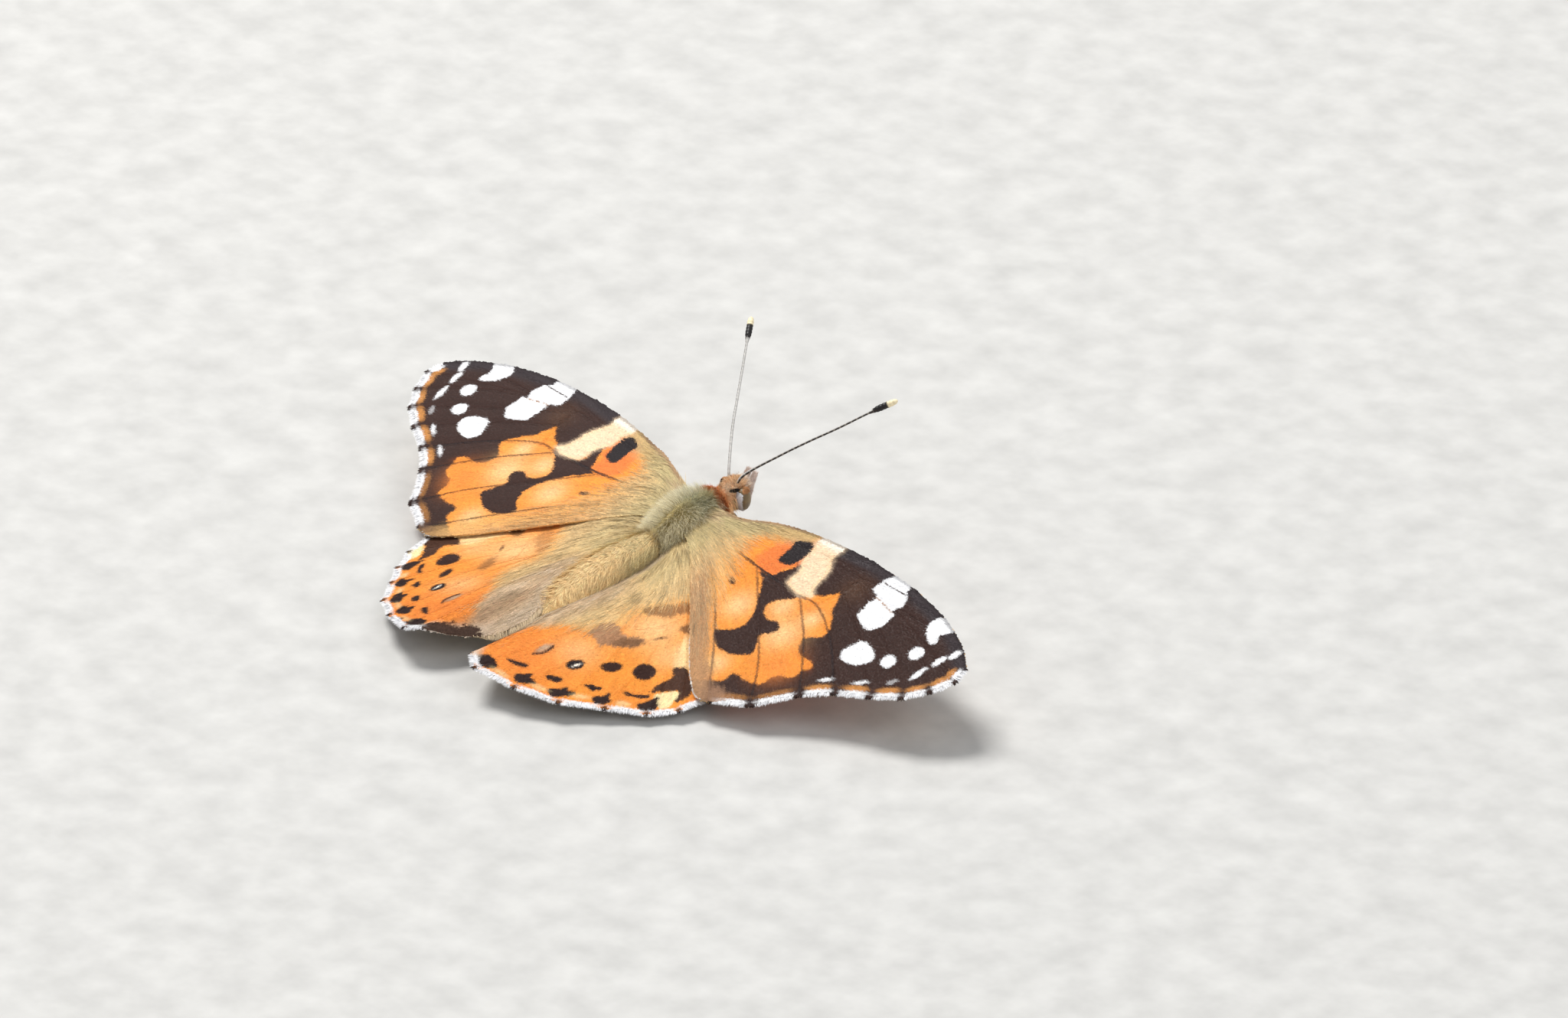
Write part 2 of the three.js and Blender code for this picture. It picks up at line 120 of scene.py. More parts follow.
def noise(u, v, seed=0):
    """Smooth noise from -1 to 1 on a unit lattice."""
    i, j = np.floor(u), np.floor(v)
    f, g = u - i, v - j
    f, g = f * f * (3 - 2 * f), g * g * (3 - 2 * g)

    def corner(a, b):
        h = np.sin(a * 127.1 + b * 311.7 + seed * 74.7) * 43758.5453
        return 2 * (h - np.floor(h)) - 1

    low = corner(i, j) * (1 - f) + corner(i + 1, j) * f
    high = corner(i, j + 1) * (1 - f) + corner(i + 1, j + 1) * f
    return low * (1 - g) + high * g


def ramp(distance, edge):
    """Smooth step from 0 to 1 over a width of edge, one half where the distance is 0."""
    t = np.clip(distance / edge + 0.5, 0, 1)
    return t * t * (3 - 2 * t)


def unit(v):
    v = np.asarray(v)
    return v / np.maximum(np.linalg.norm(v, axis=-1, keepdims=True), 1e-9)


def mix(a, b, t):
    return a + (b - a) * np.asarray(t)[:, None]


def across(lie, normal):
    """The part of a direction that lies in the surface."""
    return unit(lie - normal * (lie * normal).sum(1, keepdims=True))


def shell(rows, cols):
    """Faces of rings of points, with a cap at either end on the two points that follow the rings."""
    i, j = np.meshgrid(np.arange(rows - 1), np.arange(cols), indexing="ij")
    a, b = i * cols + j, i * cols + (j + 1) % cols
    quads = np.stack([a, b, b + cols, a + cols], -1).reshape(-1, 4)
    k = np.arange(cols)
    after, first, last = (k + 1) % cols, np.full(cols, rows * cols), (rows - 1) * cols
    caps = [np.column_stack([first, after, k]), np.column_stack([first + 1, last + k, last + after])]
    return [quads, np.vstack(caps)]


def srgb(r, g, b):
    c = np.array([r, g, b]) / 255
    return np.where(c <= 0.04045, c / 12.92, ((c + 0.055) / 1.055) ** 2.4)


# ---------------------------------------------------------------- the wings' plan

FORE_VEINS = {
    "sc": [(1.6, -1.5), (7.5, 0.1), (12.5, 1.1), (17.0, 2.05)],
    "r1": [(14.3, 0.6), (18.5, 1.35), (22.6, 2.05)],
    "radius": [(1.6, -1.9), (7.5, -0.55), (13.0, 0.5), (17.5, 0.45), (21.2, 0.0), (26.5, 0.1), (31.2, -0.6)],
    "r2": [(17.5, 0.45), (22.0, 1.15), (27.2, 1.15)],
    "r4": [(21.2, 0.0), (26.5, -1.1), (32.4, -2.5)],
    "r5": [(23.0, -0.4), (27.6, -2.1), (31.6, -4.3)],
    "m1": [(17.5, 0.3), (22.5, -2.0), (26.4, -3.9), (30.2, -6.0)],
    "m2": [(17.4, -1.3), (22.0, -3.5), (28.0, -7.35)],
    "cross": [(17.5, 0.3), (17.4, -1.3), (16.8, -3.3)],
    "cubitus": [(1.6, -2.5), (7.5, -3.1), (14.9, -3.4), (16.8, -3.3), (21.0, -5.3), (25.4, -8.6)],
    "cu1": [(14.9, -3.4), (19.0, -6.3), (23.3, -10.2)],
    "cu2": [(9.6, -3.3), (13.5, -6.3), (18.0, -9.9), (20.9, -13.1)],
    "anal": [(1.6, -3.2), (8.2, -6.4), (12.5, -9.7), (17.8, -14.6)],
}
FORE_COSTA = [(1.2, -1.1), (4.2, -0.7), (7.4, 0.75), (12.2, 1.8), (19.4, 2.2), (25.2, 1.65), (29.6, 0.35),
              (31.9, -1.05)]
FORE_TIPS = [(31.9, -1.05), (32.4, -2.5), (31.6, -4.3), (30.2, -6.0), (28.0, -7.35), (25.4, -8.6),
             (23.3, -10.2), (20.9, -13.1), (17.8, -14.6)]
FORE_INNER = [(17.8, -14.6), (16.6, -14.7), (14.5, -13.6), (11.0, -10.9), (6.8, -7.5), (3.4, -4.9),
              (1.2, -3.9)]

HIND_VEINS = {
    "sc": [(1.6, -4.9), (4.5, -5.9), (8.0, -7.6), (13.0, -11.1), (17.0, -14.4)],
    "radius": [(1.6, -5.2), (4.4, -6.8), (8.6, -9.7), (13.0, -13.3), (16.5, -16.7)],
    "m1": [(8.6, -9.7), (11.6, -13.2), (15.2, -18.8)],
    "m2": [(8.4, -11.3), (10.5, -15.2), (13.0, -21.1)],
    "cross": [(8.6, -9.7), (8.4, -11.3), (7.2, -13.6)],
    "cubitus": [(1.9, -5.5), (4.6, -9.2), (6.2, -12.4), (7.2, -13.6), (9.0, -18.0), (10.6, -23.7)],
    "cu1": [(6.2, -12.4), (7.3, -18.0), (7.5, -25.5)],
    "cu2": [(4.6, -9.2), (4.8, -17.0), (4.1, -26.7)],
    "anal": [(2.2, -5.7), (3.1, -10.0), (3.1, -19.0), (2.7, -25.8)],
}
HIND_COSTA = [(1.2, -4.5), (4.0, -4.6), (8.0, -5.7), (12.4, -8.6), (15.8, -12.0), (17.0, -14.4)]
HIND_TIPS = [(17.0, -14.4), (16.5, -16.7), (15.2, -18.8), (13.0, -21.1), (10.6, -23.7), (7.5, -25.5),
             (4.1, -26.7), (2.7, -25.8)]
HIND_INNER = [(2.7, -25.8), (1.6, -24.0), (0.75, -21.8), (0.35, -19.6), (0.3, -17.6), (0.65, -16.0),
              (1.1, -14.8), (1.5, -13.0), (1.6, -10.0), (1.35, -7.4), (1.0, -6.3)]

RIM_STEP = 0.25           # spacing of the points along a wing's edge
SCALLOP = 0.42            # depth of the notch between two vein tips
WIDE_SPAN = 2.5           # shorter stretches between vein tips have shallower notches
MEMBRANE = 0.14           # thickness of the wing's skin
RIDGE = 0.05              # height of a vein
PLEAT = 0.06              # sag of the membrane between veins


def fore_height(x, y):
    return 0.865 + 0.351 * y - 0.036 * x


def hind_height(x, y):
    flat = -1.02 + 0.067 * y - 0.234 * x
    slope = 0.3 + 0.75 * np.clip((-y - 6) / 15, 0, 1)
    depth = np.maximum(3.0 - x, 0)
    behind = -0.596 * (x - 3.4) - 0.803 * (y + 4.9)
    tuck = (0.6 + 0.45 * ramp(7.0 - x, 4.0)) * ramp(1.6 - behind, 4.5) * ramp(x - 0.6, 1.6)
    return flat - slope * depth ** 2 / (depth + 0.5) + tuck


class Wing:
    """Plan, relief and direction of growth of one pair of wings."""

    def __init__(self, costa, tips, inner, veins, height, root):
        self.tips = np.array(tips)
        self.costa = spline(costa, RIM_STEP)
        self.inner = spline(inner, RIM_STEP)
        self.veins = [spline(v, 0.5) for v in veins.values()]
        self.height, self.root = height, root
        rows = []
        for a, b, span, inward, _ in self.spans():
            t = np.arange(round(span / RIM_STEP)) / round(span / RIM_STEP)
            rows.append(self.margin(a, b, span, inward, t, 0.0))
        self.outer = np.vstack(rows + [self.tips[-1:]])
        self.rim = np.vstack([self.costa[:-1], self.outer[:-1], self.inner])
        self.low, self.size = self.rim.min(0), np.ptp(self.rim, 0)
        self.spots = np.vstack([(line[:-1] + line[1:]) / 2 for line in self.veins])
        self.ways = np.vstack([unit(np.diff(line, axis=0)) for line in self.veins])

    def spans(self):
        """Each stretch between two vein tips: its ends, length, direction into the wing and angle."""
        for a, b in zip(self.tips[:-1], self.tips[1:]):
            dx, dy = b - a
            span = math.hypot(dx, dy)
            yield a, b, span, np.array([dy, -dx]) / span, math.degrees(math.atan2(dy, dx))

    def margin(self, a, b, span, inward, t, extra):
        """Points of a stretch of the scalloped margin, moved some more into the wing."""
        dip = SCALLOP * np.sin(np.pi * t) * min(1, span / WIDE_SPAN) + extra
        return a + (b - a) * t[:, None] + dip[:, None] * inward

    def vein_distance(self, x, y):
        return np.minimum.reduce([line_distance(x, y, line) for line in self.veins])

    def surface(self, x, y):
        d = self.vein_distance(x, y)
        return self.height(x, y) + RIDGE * np.exp(-(d / 0.15) ** 2) - PLEAT * (1 - np.exp(-(d / 0.8) ** 2))

    def relief(self, x, y):
        """Height, normal and slopes of the wing's middle surface."""
        e = 0.05
        z = self.surface(x, y)
        dx = (self.surface(x + e, y) - z) / e
        dy = (self.surface(x, y + e) - z) / e
        return z, unit(np.column_stack([-dx, -dy, np.ones_like(dx)])), dx, dy

    def flow(self, x, y, swing):
        """Direction in plan along the veins, root to margin, swung by an angle."""
        gap = (x[:, None] - self.spots[:, 0]) ** 2 + (y[:, None] - self.spots[:, 1]) ** 2
        u, v = unit((1 / (gap + 0.5) ** 1.6) @ self.ways).T
        return np.column_stack([u * np.cos(swing) - v * np.sin(swing), u * np.sin(swing) + v * np.cos(swing)])

    def polar(self, x, y):
        dx, dy = x - self.root[0], y - self.root[1]
        return np.hypot(dx, dy), np.arctan2(dy, dx)

    def streak(self, x, y, fine, along, seed):
        """Noise drawn out along the lines that fan from the wing's root."""
        r, turn = self.polar(x, y)
        return noise(turn * fine, r * along, seed)

    def scatter(self, step, rng):
        """Jittered plan points over the wing, about one step apart."""
        x, y = np.meshgrid(*(np.arange(self.low[k], self.rim[:, k].max(), step) for k in (0, 1)))
        x = x + (np.arange(x.shape[0]) % 2)[:, None] * step / 2
        x, y = x.ravel(), y.ravel()
        x = x + rng.uniform(-0.3, 0.3, len(x)) * step
        y = y + rng.uniform(-0.3, 0.3, len(y)) * step
        keep = inside(x, y, self.rim)
        return x[keep], y[keep]

    def unwrap(self, x, y):
        return 0.02 + 0.96 * (np.column_stack([x, y]) - self.low) / self.size.max()


FORE = Wing(FORE_COSTA, FORE_TIPS, FORE_INNER, FORE_VEINS, fore_height, (-3.0, 0.5))
HIND = Wing(HIND_COSTA, HIND_TIPS, HIND_INNER, HIND_VEINS, hind_height, (-1.0, -1.0))

# ---------------------------------------------------------------- the markings

ORANGE = srgb(249, 155, 62)
AMBER_RED = srgb(245, 143, 64)
LEMON = srgb(252, 228, 172)
RED_ORANGE = srgb(252, 116, 36)
PEACH = srgb(253, 206, 146)
CREAM = srgb(253, 240, 224)
PALE_PEACH = srgb(250, 220, 184)
EMBER = srgb(244, 130, 62)
BROWN = srgb(58, 36, 30)
BLACK = srgb(38, 30, 32)
SLATE = srgb(56, 50, 54)
WHITE = srgb(250, 250, 252)
TAN = srgb(226, 196, 142)
GOLD = srgb(236, 184, 112)
OLIVE = srgb(188, 178, 130)
MAUVE = srgb(212, 182, 152)
UMBER = srgb(120, 84, 56)
DUSK = srgb(168, 128, 98)
BUFF = srgb(206, 180, 144)
ROSE = srgb(240, 146, 104)
RUST = srgb(214, 146, 76)


class Paint:
    """Colours over the plan of a wing, laid on one mark at a time."""

    def __init__(self, wing, x, y, ground, seed):
        self.wing, self.x, self.y = wing, x, y
        self.rgb = np.tile(ground, (len(x), 1))
        self.wave = 0.05 * wing.streak(x, y, 110, 0.9, seed) + 0.04 * wing.streak(x, y, 260, 1.6, seed + 3)
        self.costa, self.inner, self.outer = (line_distance(x, y, v) for v in (wing.costa, wing.inner, wing.outer))

    def lay(self, colour, mask):
        self.rgb = mix(self.rgb, colour, mask)

    def patch(self, colour, points, edge=0.16, rough=1.0, strength=1.0):
        d = signed(self.x, self.y, ring(points))
        self.lay(colour, strength * ramp(d + rough * self.wave, edge))

    def oval(self, colour, cx, cy, wide, high, turn=0.0, edge=0.16, strength=1.0):
        c, s = math.cos(math.radians(turn)), math.sin(math.radians(turn))
        u = (self.x - cx) * c + (self.y - cy) * s
        v = (self.y - cy) * c - (self.x - cx) * s
        d = (1 - np.hypot(2 * u / wide, 2 * v / high)) * min(wide, high) / 2
        self.lay(colour, strength * ramp(d + 0.6 * self.wave, edge))

    def stroke(self, colour, points, width, edge=0.1, strength=1.0):
        d = line_distance(self.x, self.y, spline(points, 0.6))
        self.lay(colour, strength * ramp(width / 2 - d, edge))

    def glow(self, colour, cx, cy, size, strength=1.0):
        d = (self.x - cx) ** 2 + (self.y - cy) ** 2
        self.lay(colour, strength * np.exp(-d / size ** 2))

    def grained(self, amount):
        """The colours with fine streaks along the veins."""
        w = self.wing.streak(self.x, self.y, 150, 0.8, 11)
        v = self.wing.streak(self.x, self.y, 60, 0.5, 12)
        return self.rgb * (1 + amount * (0.6 * w + 0.5 * v))[:, None]


FORE_FIELD = [(-2, 4), (7, 4), (11.3, 2.6), (11.3, 0.8), (11.7, -0.8), (12.3, -2.2), (12.8, -3.1),
              (15.1, -3.3), (15.6, -2.75), (16.3, -2.4), (16.95, -1.85), (17.3, -1.5), (17.75, -1.95),
              (17.95, -2.4), (18.25, -2.95), (19.1, -3.7), (19.8, -4.65), (19.6, -5.3), (18.95, -5.85),
              (18.8, -6.35), (19.8, -7.35), (21.2, -7.35), (21.7, -7.8), (21.4, -8.3), (21.3, -9.0),
              (20.8, -9.4), (19.9, -9.9), (19.8, -11.0), (18.8, -11.4), (17.0, -11.5), (16.9, -12.4),
              (16.2, -13.0), (14.5, -13.9), (12, -15), (-2, -10)]
FORE_TAN = [(-2, 4), (9.5, 3.2), (9.0, 1.6), (7.4, 0.2), (6.8, -1.8), (7.4, -3.4), (8.4, -4.9), (10.2, -7.9),
            (12.6, -10.0), (15.6, -12.6), (15.5, -16), (-2, -10)]
FORE_CELL = [(9.4, 0.45), (9.0, -0.28), (8.6, -0.9), (8.35, -1.7), (8.3, -2.4), (8.8, -2.95), (9.9, -3.4),
             (11.0, -3.2), (11.2, -2.7), (11.3, -2.2), (11.6, -1.6), (12.1, -0.9), (11.9, 0.1), (11.4, 0.95),
             (10.4, 0.9)]
FORE_BAR = [(9.75, 0.25), (10.2, 0.55), (10.8, 0.75), (11.3, 0.6), (11.5, 0.2), (11.55, -0.4), (11.5, -1.0),
            (11.35, -1.5), (10.9, -1.8), (10.4, -1.9), (10.0, -1.8), (9.83, -1.4), (9.85, -0.8), (9.8, -0.25)]
FORE_CREAM = [(11.3, 2.3), (11.3, 1.4), (11.45, 0.8), (11.65, 0.2), (11.65, -0.3), (11.85, -0.8),
              (12.15, -1.2), (12.5, -1.65), (12.48, -2.2), (12.58, -2.75), (13.0, -3.12), (13.9, -3.3),
              (14.9, -3.28), (15.55, -2.9), (15.05, -2.35), (14.85, -1.7), (14.72, -0.95), (14.5, -0.35),
              (14.1, 0.2), (13.75, 0.7), (13.7, 1.2), (13.75, 1.6), (13.3, 2.5)]
FORE_BLOB = [(10.2, -3.4), (12.4, -3.2), (15.1, -3.2), (14.3, -4.0), (13.6, -4.8), (13.45, -5.5),
             (13.9, -6.05), (14.7, -6.35), (15.5, -6.05), (16.15, -6.35), (16.2, -7.0), (15.6, -7.7),
             (16.1, -8.5), (16.55, -9.3), (15.8, -10.0), (14.6, -10.45), (13.2, -10.2), (12.2, -9.4),
             (12.9, -8.8), (13.5, -8.0), (13.55, -7.2), (13.1, -6.3), (12.1, -5.1), (11.2, -4.1)]
FORE_WEDGE = [(12.15, -1.0), (12.45, -1.75), (12.42, -2.3), (12.5, -2.8), (12.85, -3.15), (13.6, -3.35),
              (14.7, -3.42), (14.1, -4.05), (13.0, -4.3), (11.6, -4.3), (10.75, -3.69), (11.15, -3.1),
              (11.35, -2.45), (11.8, -1.7)]
FORE_BARWHITE = [(19.15, 0.28), (19.15, 0.85), (19.15, 1.4), (19.5, 2.15), (20.45, 2.45), (21.3, 2.3),
                 (21.7, 1.5), (22.2, 1.1), (22.55, 0.3), (22.3, -0.45), (22.7, -0.5), (22.8, -1.2),
                 (22.85, -2.0), (22.1, -2.7), (21.3, -2.6), (20.8, -2.4), (20.2, -2.1), (20.15, -1.5),
                 (20.0, -0.9), (20.05, -0.15)]
FORE_HEART = [(22.6, -5.65), (22.2, -5.05), (22.45, -4.6), (22.6, -4.05), (23.1, -3.65), (24.0, -3.75),
              (24.8, -4.2), (25.05, -4.8), (24.6, -5.45), (23.9, -5.8), (23.2, -5.87)]
FORE_APEX = [(26.1, -0.2), (25.7, 0.5), (25.85, 1.0), (26.3, 1.35), (27.2, 1.35), (28.0, 1.05), (27.85, 0.55),
             (27.5, 0.0), (27.75, -0.5), (27.6, -0.98), (27.0, -0.8)]


def moved(points, dx):
    return [(x + dx, y) for x, y in points]


def fore_top(x, y, side):
    p = Paint(FORE, x, y, BROWN, 1)
    vein = {name: line_distance(x, y, spline(FORE_VEINS[name], 0.6)) for name in ("cu1", "cu2", "cubitus", "anal")}
    p.lay(SLATE, 0.8 * ramp(1.0 - p.costa, 0.8))
    p.glow(UMBER, 18.0, -0.6, 1.3, 0.25)
    p.patch(ORANGE, FORE_FIELD, 0.22, 1.4)
    for cx, cy, size in [(14.6, -4.8, 1.0), (16.9, -6.7, 1.6), (11.5, -6.6, 1.3), (17.6, -4.4, 0.8),
                         (15.0, -11.6, 1.0)]:
        p.glow(PEACH, cx, cy, size, 0.85)
    p.glow(AMBER_RED, 19.2, -9.0, 1.6, 0.7)
    p.glow(AMBER_RED, 16.5, -3.6, 0.7, 0.5)
    p.patch(GOLD, FORE_TAN, 1.7, 5.0, 0.75)
    p.patch(EMBER, moved(FORE_CELL, 0.3 * side), 0.8, 3.0, 0.95)
    p.lay(TAN, 0.75 * ramp(6.2 - x + 9 * p.wave, 3.2))
    front = ramp(1.5 - p.costa + 3 * p.wave, 1.3) * ramp(11.6 - x, 2.0)
    p.lay(OLIVE, 0.75 * np.maximum(ramp(4.2 - x + 6 * p.wave, 3.0), front))
    for d in vein.values():
        p.lay(BLACK, 0.65 * ramp(0.07 - d, 0.08) * ramp(x - 9.5, 3.0))
    p.glow(MAUVE, 2.25, -1.55, 0.6, 0.8)
    p.lay(DUSK, 0.8 * ramp(0.2 - p.costa, 0.15) * ramp(x - 2.5, 1.0) * ramp(10.0 - x, 3.0))
    p.oval(BLACK, 9.0, -5.25, 0.95, 0.42, -25, strength=0.9)
    p.patch(BROWN, FORE_BLOB, 0.18, 1.2)
    p.patch(BROWN, moved(FORE_WEDGE, 0.2 * side), 0.15)
    band = moved(FORE_CREAM, 0.15 * side)
    p.patch(PEACH, band, 0.16)
    p.patch(PALE_PEACH, band, 0.9, 2.0)
    p.lay(CREAM, 0.95 * ramp(signed(x, y, ring(band)) + p.wave, 0.2) * ramp(y - 1.15 + p.wave, 0.5))
    p.lay(BLACK, 0.8 * ramp(0.09 - vein["cubitus"], 0.1) * ramp(12.5 - x, 2) * ramp(x - 7.2, 2))
    p.patch(BLACK, moved(FORE_BAR, 0.3 * side), 0.14, 0.6)
    p.patch(WHITE, FORE_BARWHITE, 0.14)
    p.stroke(BROWN, [(19.4, 1.22), (22.4, 1.25)], 0.10)
    p.stroke(DUSK, [(20.0, -0.12), (21.0, -0.25), (22.45, -0.52)], 0.08)
    p.patch(WHITE, FORE_APEX, 0.14)
    p.patch(WHITE, FORE_HEART, 0.14)
    for cx, cy, wide, high, turn, strength in [
            (27.4, -2.2, 1.25, 1.2, 0, 1.0), (26.25, -3.97, 1.3, 1.15, -20, 1.0),
            (30.05, -0.65, 0.6, 1.05, -18, 1.0), (29.55, -1.75, 0.55, 1.22, -6, 1.0),
            (29.2, -3.5, 0.55, 1.45, -8, 1.0), (28.2, -5.2, 0.45, 0.9, -40, 0.35),
            (26.2, -6.6, 0.38, 1.3, -57, 0.85), (23.65, -7.92, 0.4, 1.25, -55, 0.85)]:
        p.oval(WHITE, cx, cy, wide, high, turn, strength=strength)
    p.oval(RED_ORANGE, 21.3, -7.7, 1.2, 0.5, -30, edge=0.5, strength=0.12)
    for a, b, span, inward, turn in FORE.spans():
        middle = (a + b) / 2
        p.oval(RUST, *(middle + 0.85 * inward), 0.72 * span, 0.62, turn, 0.3, 0.85 if a[1] > -9 else 0.45)
        p.oval(WHITE, *(middle + 0.38 * inward), 0.78 * span, 0.55, turn, 0.2, 0.95)
    strip = 1.0 if side > 0 else 0.35
    p.lay(DUSK, 0.75 * strip * ramp(1.5 * strip - p.inner + 5 * p.wave, 1.0) * ramp(x - 5.5, 4))
    p.lay(BLACK, 0.5 * ramp(0.22 - p.costa, 0.2) * ramp(x - 8, 3))
    return p.grained(0.10)


HIND_REAR = spline([(6.2, -26.1), (4.1, -26.7), (2.7, -25.8), (1.6, -24.0), (0.9, -22.3)], 0.3)
TAN_REACH = [(-28.0, -0.5), (-24.5, 0.6), (-22.5, 1.4), (-20.5, 2.4), (-19.3, 3.1), (-17.8, 4.0),
             (-16.9, 5.2), (-15.5, 6.1), (-14.0, 6.3), (-12.5, 5.8), (-11.0, 6.3), (-9.0, 7.2), (-6.0, 9.5),
             (0.0, 11.0)]
HIND_CORNER = [(13.0, -14.0), (13.3, -13.5), (14.0, -13.4), (15.0, -13.8), (16.0, -14.4), (16.4, -15.2),
               (16.3, -16.1), (15.85, -16.1), (15.55, -15.5), (15.3, -15.35), (14.9, -15.6), (14.4, -16.3),
               (13.95, -17.0), (13.75, -16.6), (13.6, -15.9), (13.7, -15.3), (13.75, -14.7), (13.4, -14.3)]
HIND_CREAM = [(15.1, -15.5), (15.6, -15.4), (16.0, -16.2), (16.2, -16.8), (15.9, -17.4), (15.2, -17.4),
              (14.6, -17.1), (14.5, -16.5)]
HIND_BAND = [(6.1, -11.7), (6.1, -10.8), (6.5, -10.2), (7.2, -9.5), (8.0, -8.6), (8.8, -8.7), (9.0, -9.4),
             (8.4, -9.9), (8.1, -10.6), (7.3, -11.1), (6.7, -11.6)]
HIND_SMUDGE = [(5.7, -16.5), (5.5, -15.3), (6.0, -14.4), (7.0, -14.5), (7.7, -14.6), (8.7, -13.6),
               (9.05, -14.3), (8.85, -15.1), (8.4, -15.8), (7.8, -16.3), (7.5, -16.9), (6.8, -16.85)]
HIND_EDGE_MARKS = [
    [(3.1, -25.6), (3.35, -25.1), (3.65, -24.7), (4.3, -24.75), (5.0, -25.0), (4.8, -25.5), (4.4, -26.0),
     (3.9, -26.2), (3.4, -26.0)],
    [(6.4, -24.5), (6.35, -24.1), (6.7, -23.85), (6.8, -23.5), (7.1, -23.25), (7.3, -23.65), (7.9, -23.65),
     (7.85, -24.0), (7.5, -24.6), (7.0, -24.85)],
    [(8.95, -23.3), (9.15, -22.8), (9.5, -22.45), (9.5, -22.1), (9.7, -21.85), (9.95, -22.1), (10.45, -21.85),
     (10.4, -22.4), (10.1, -23.1), (9.65, -23.6)],
    [(11.5, -21.05), (11.5, -20.6), (11.8, -20.25), (11.7, -19.6), (12.0, -19.75), (12.2, -20.05),
     (12.6, -20.1), (12.6, -20.6), (12.3, -21.1), (11.9, -21.25)],
    [(13.9, -18.6), (14.0, -18.0), (14.05, -17.3), (14.2, -16.8), (14.4, -17.2), (14.8, -17.4), (15.1, -18.0),
     (14.9, -18.5), (14.5, -18.8)],
]
HIND_SMALL_MARKS = [
    [(4.7, -23.85), (5.15, -23.45), (5.6, -23.1), (6.0, -22.85), (6.15, -23.2), (5.8, -23.55), (5.3, -23.75)],
    [(7.75, -22.55), (8.05, -22.0), (8.6, -21.65), (8.75, -22.1), (8.4, -22.5)],
    [(10.1, -20.7), (10.3, -20.15), (10.6, -20.05), (11.0, -19.65), (11.1, -20.0), (10.9, -20.2),
     (10.95, -20.5), (10.55, -20.6)],
    [(12.3, -18.7), (12.4, -18.35), (12.8, -18.15), (13.6, -17.2), (13.65, -17.6), (13.0, -18.35),
     (12.7, -18.65)],
]
MARK_SPREAD = 0.06        # the marks of the two hindwings differ a little in reach


def tan_depth(x, y):
    """How far a point of the hindwing lies inside its tan inner part."""
    at, reach = np.array(TAN_REACH).T
    return np.interp(y, at, reach) - x


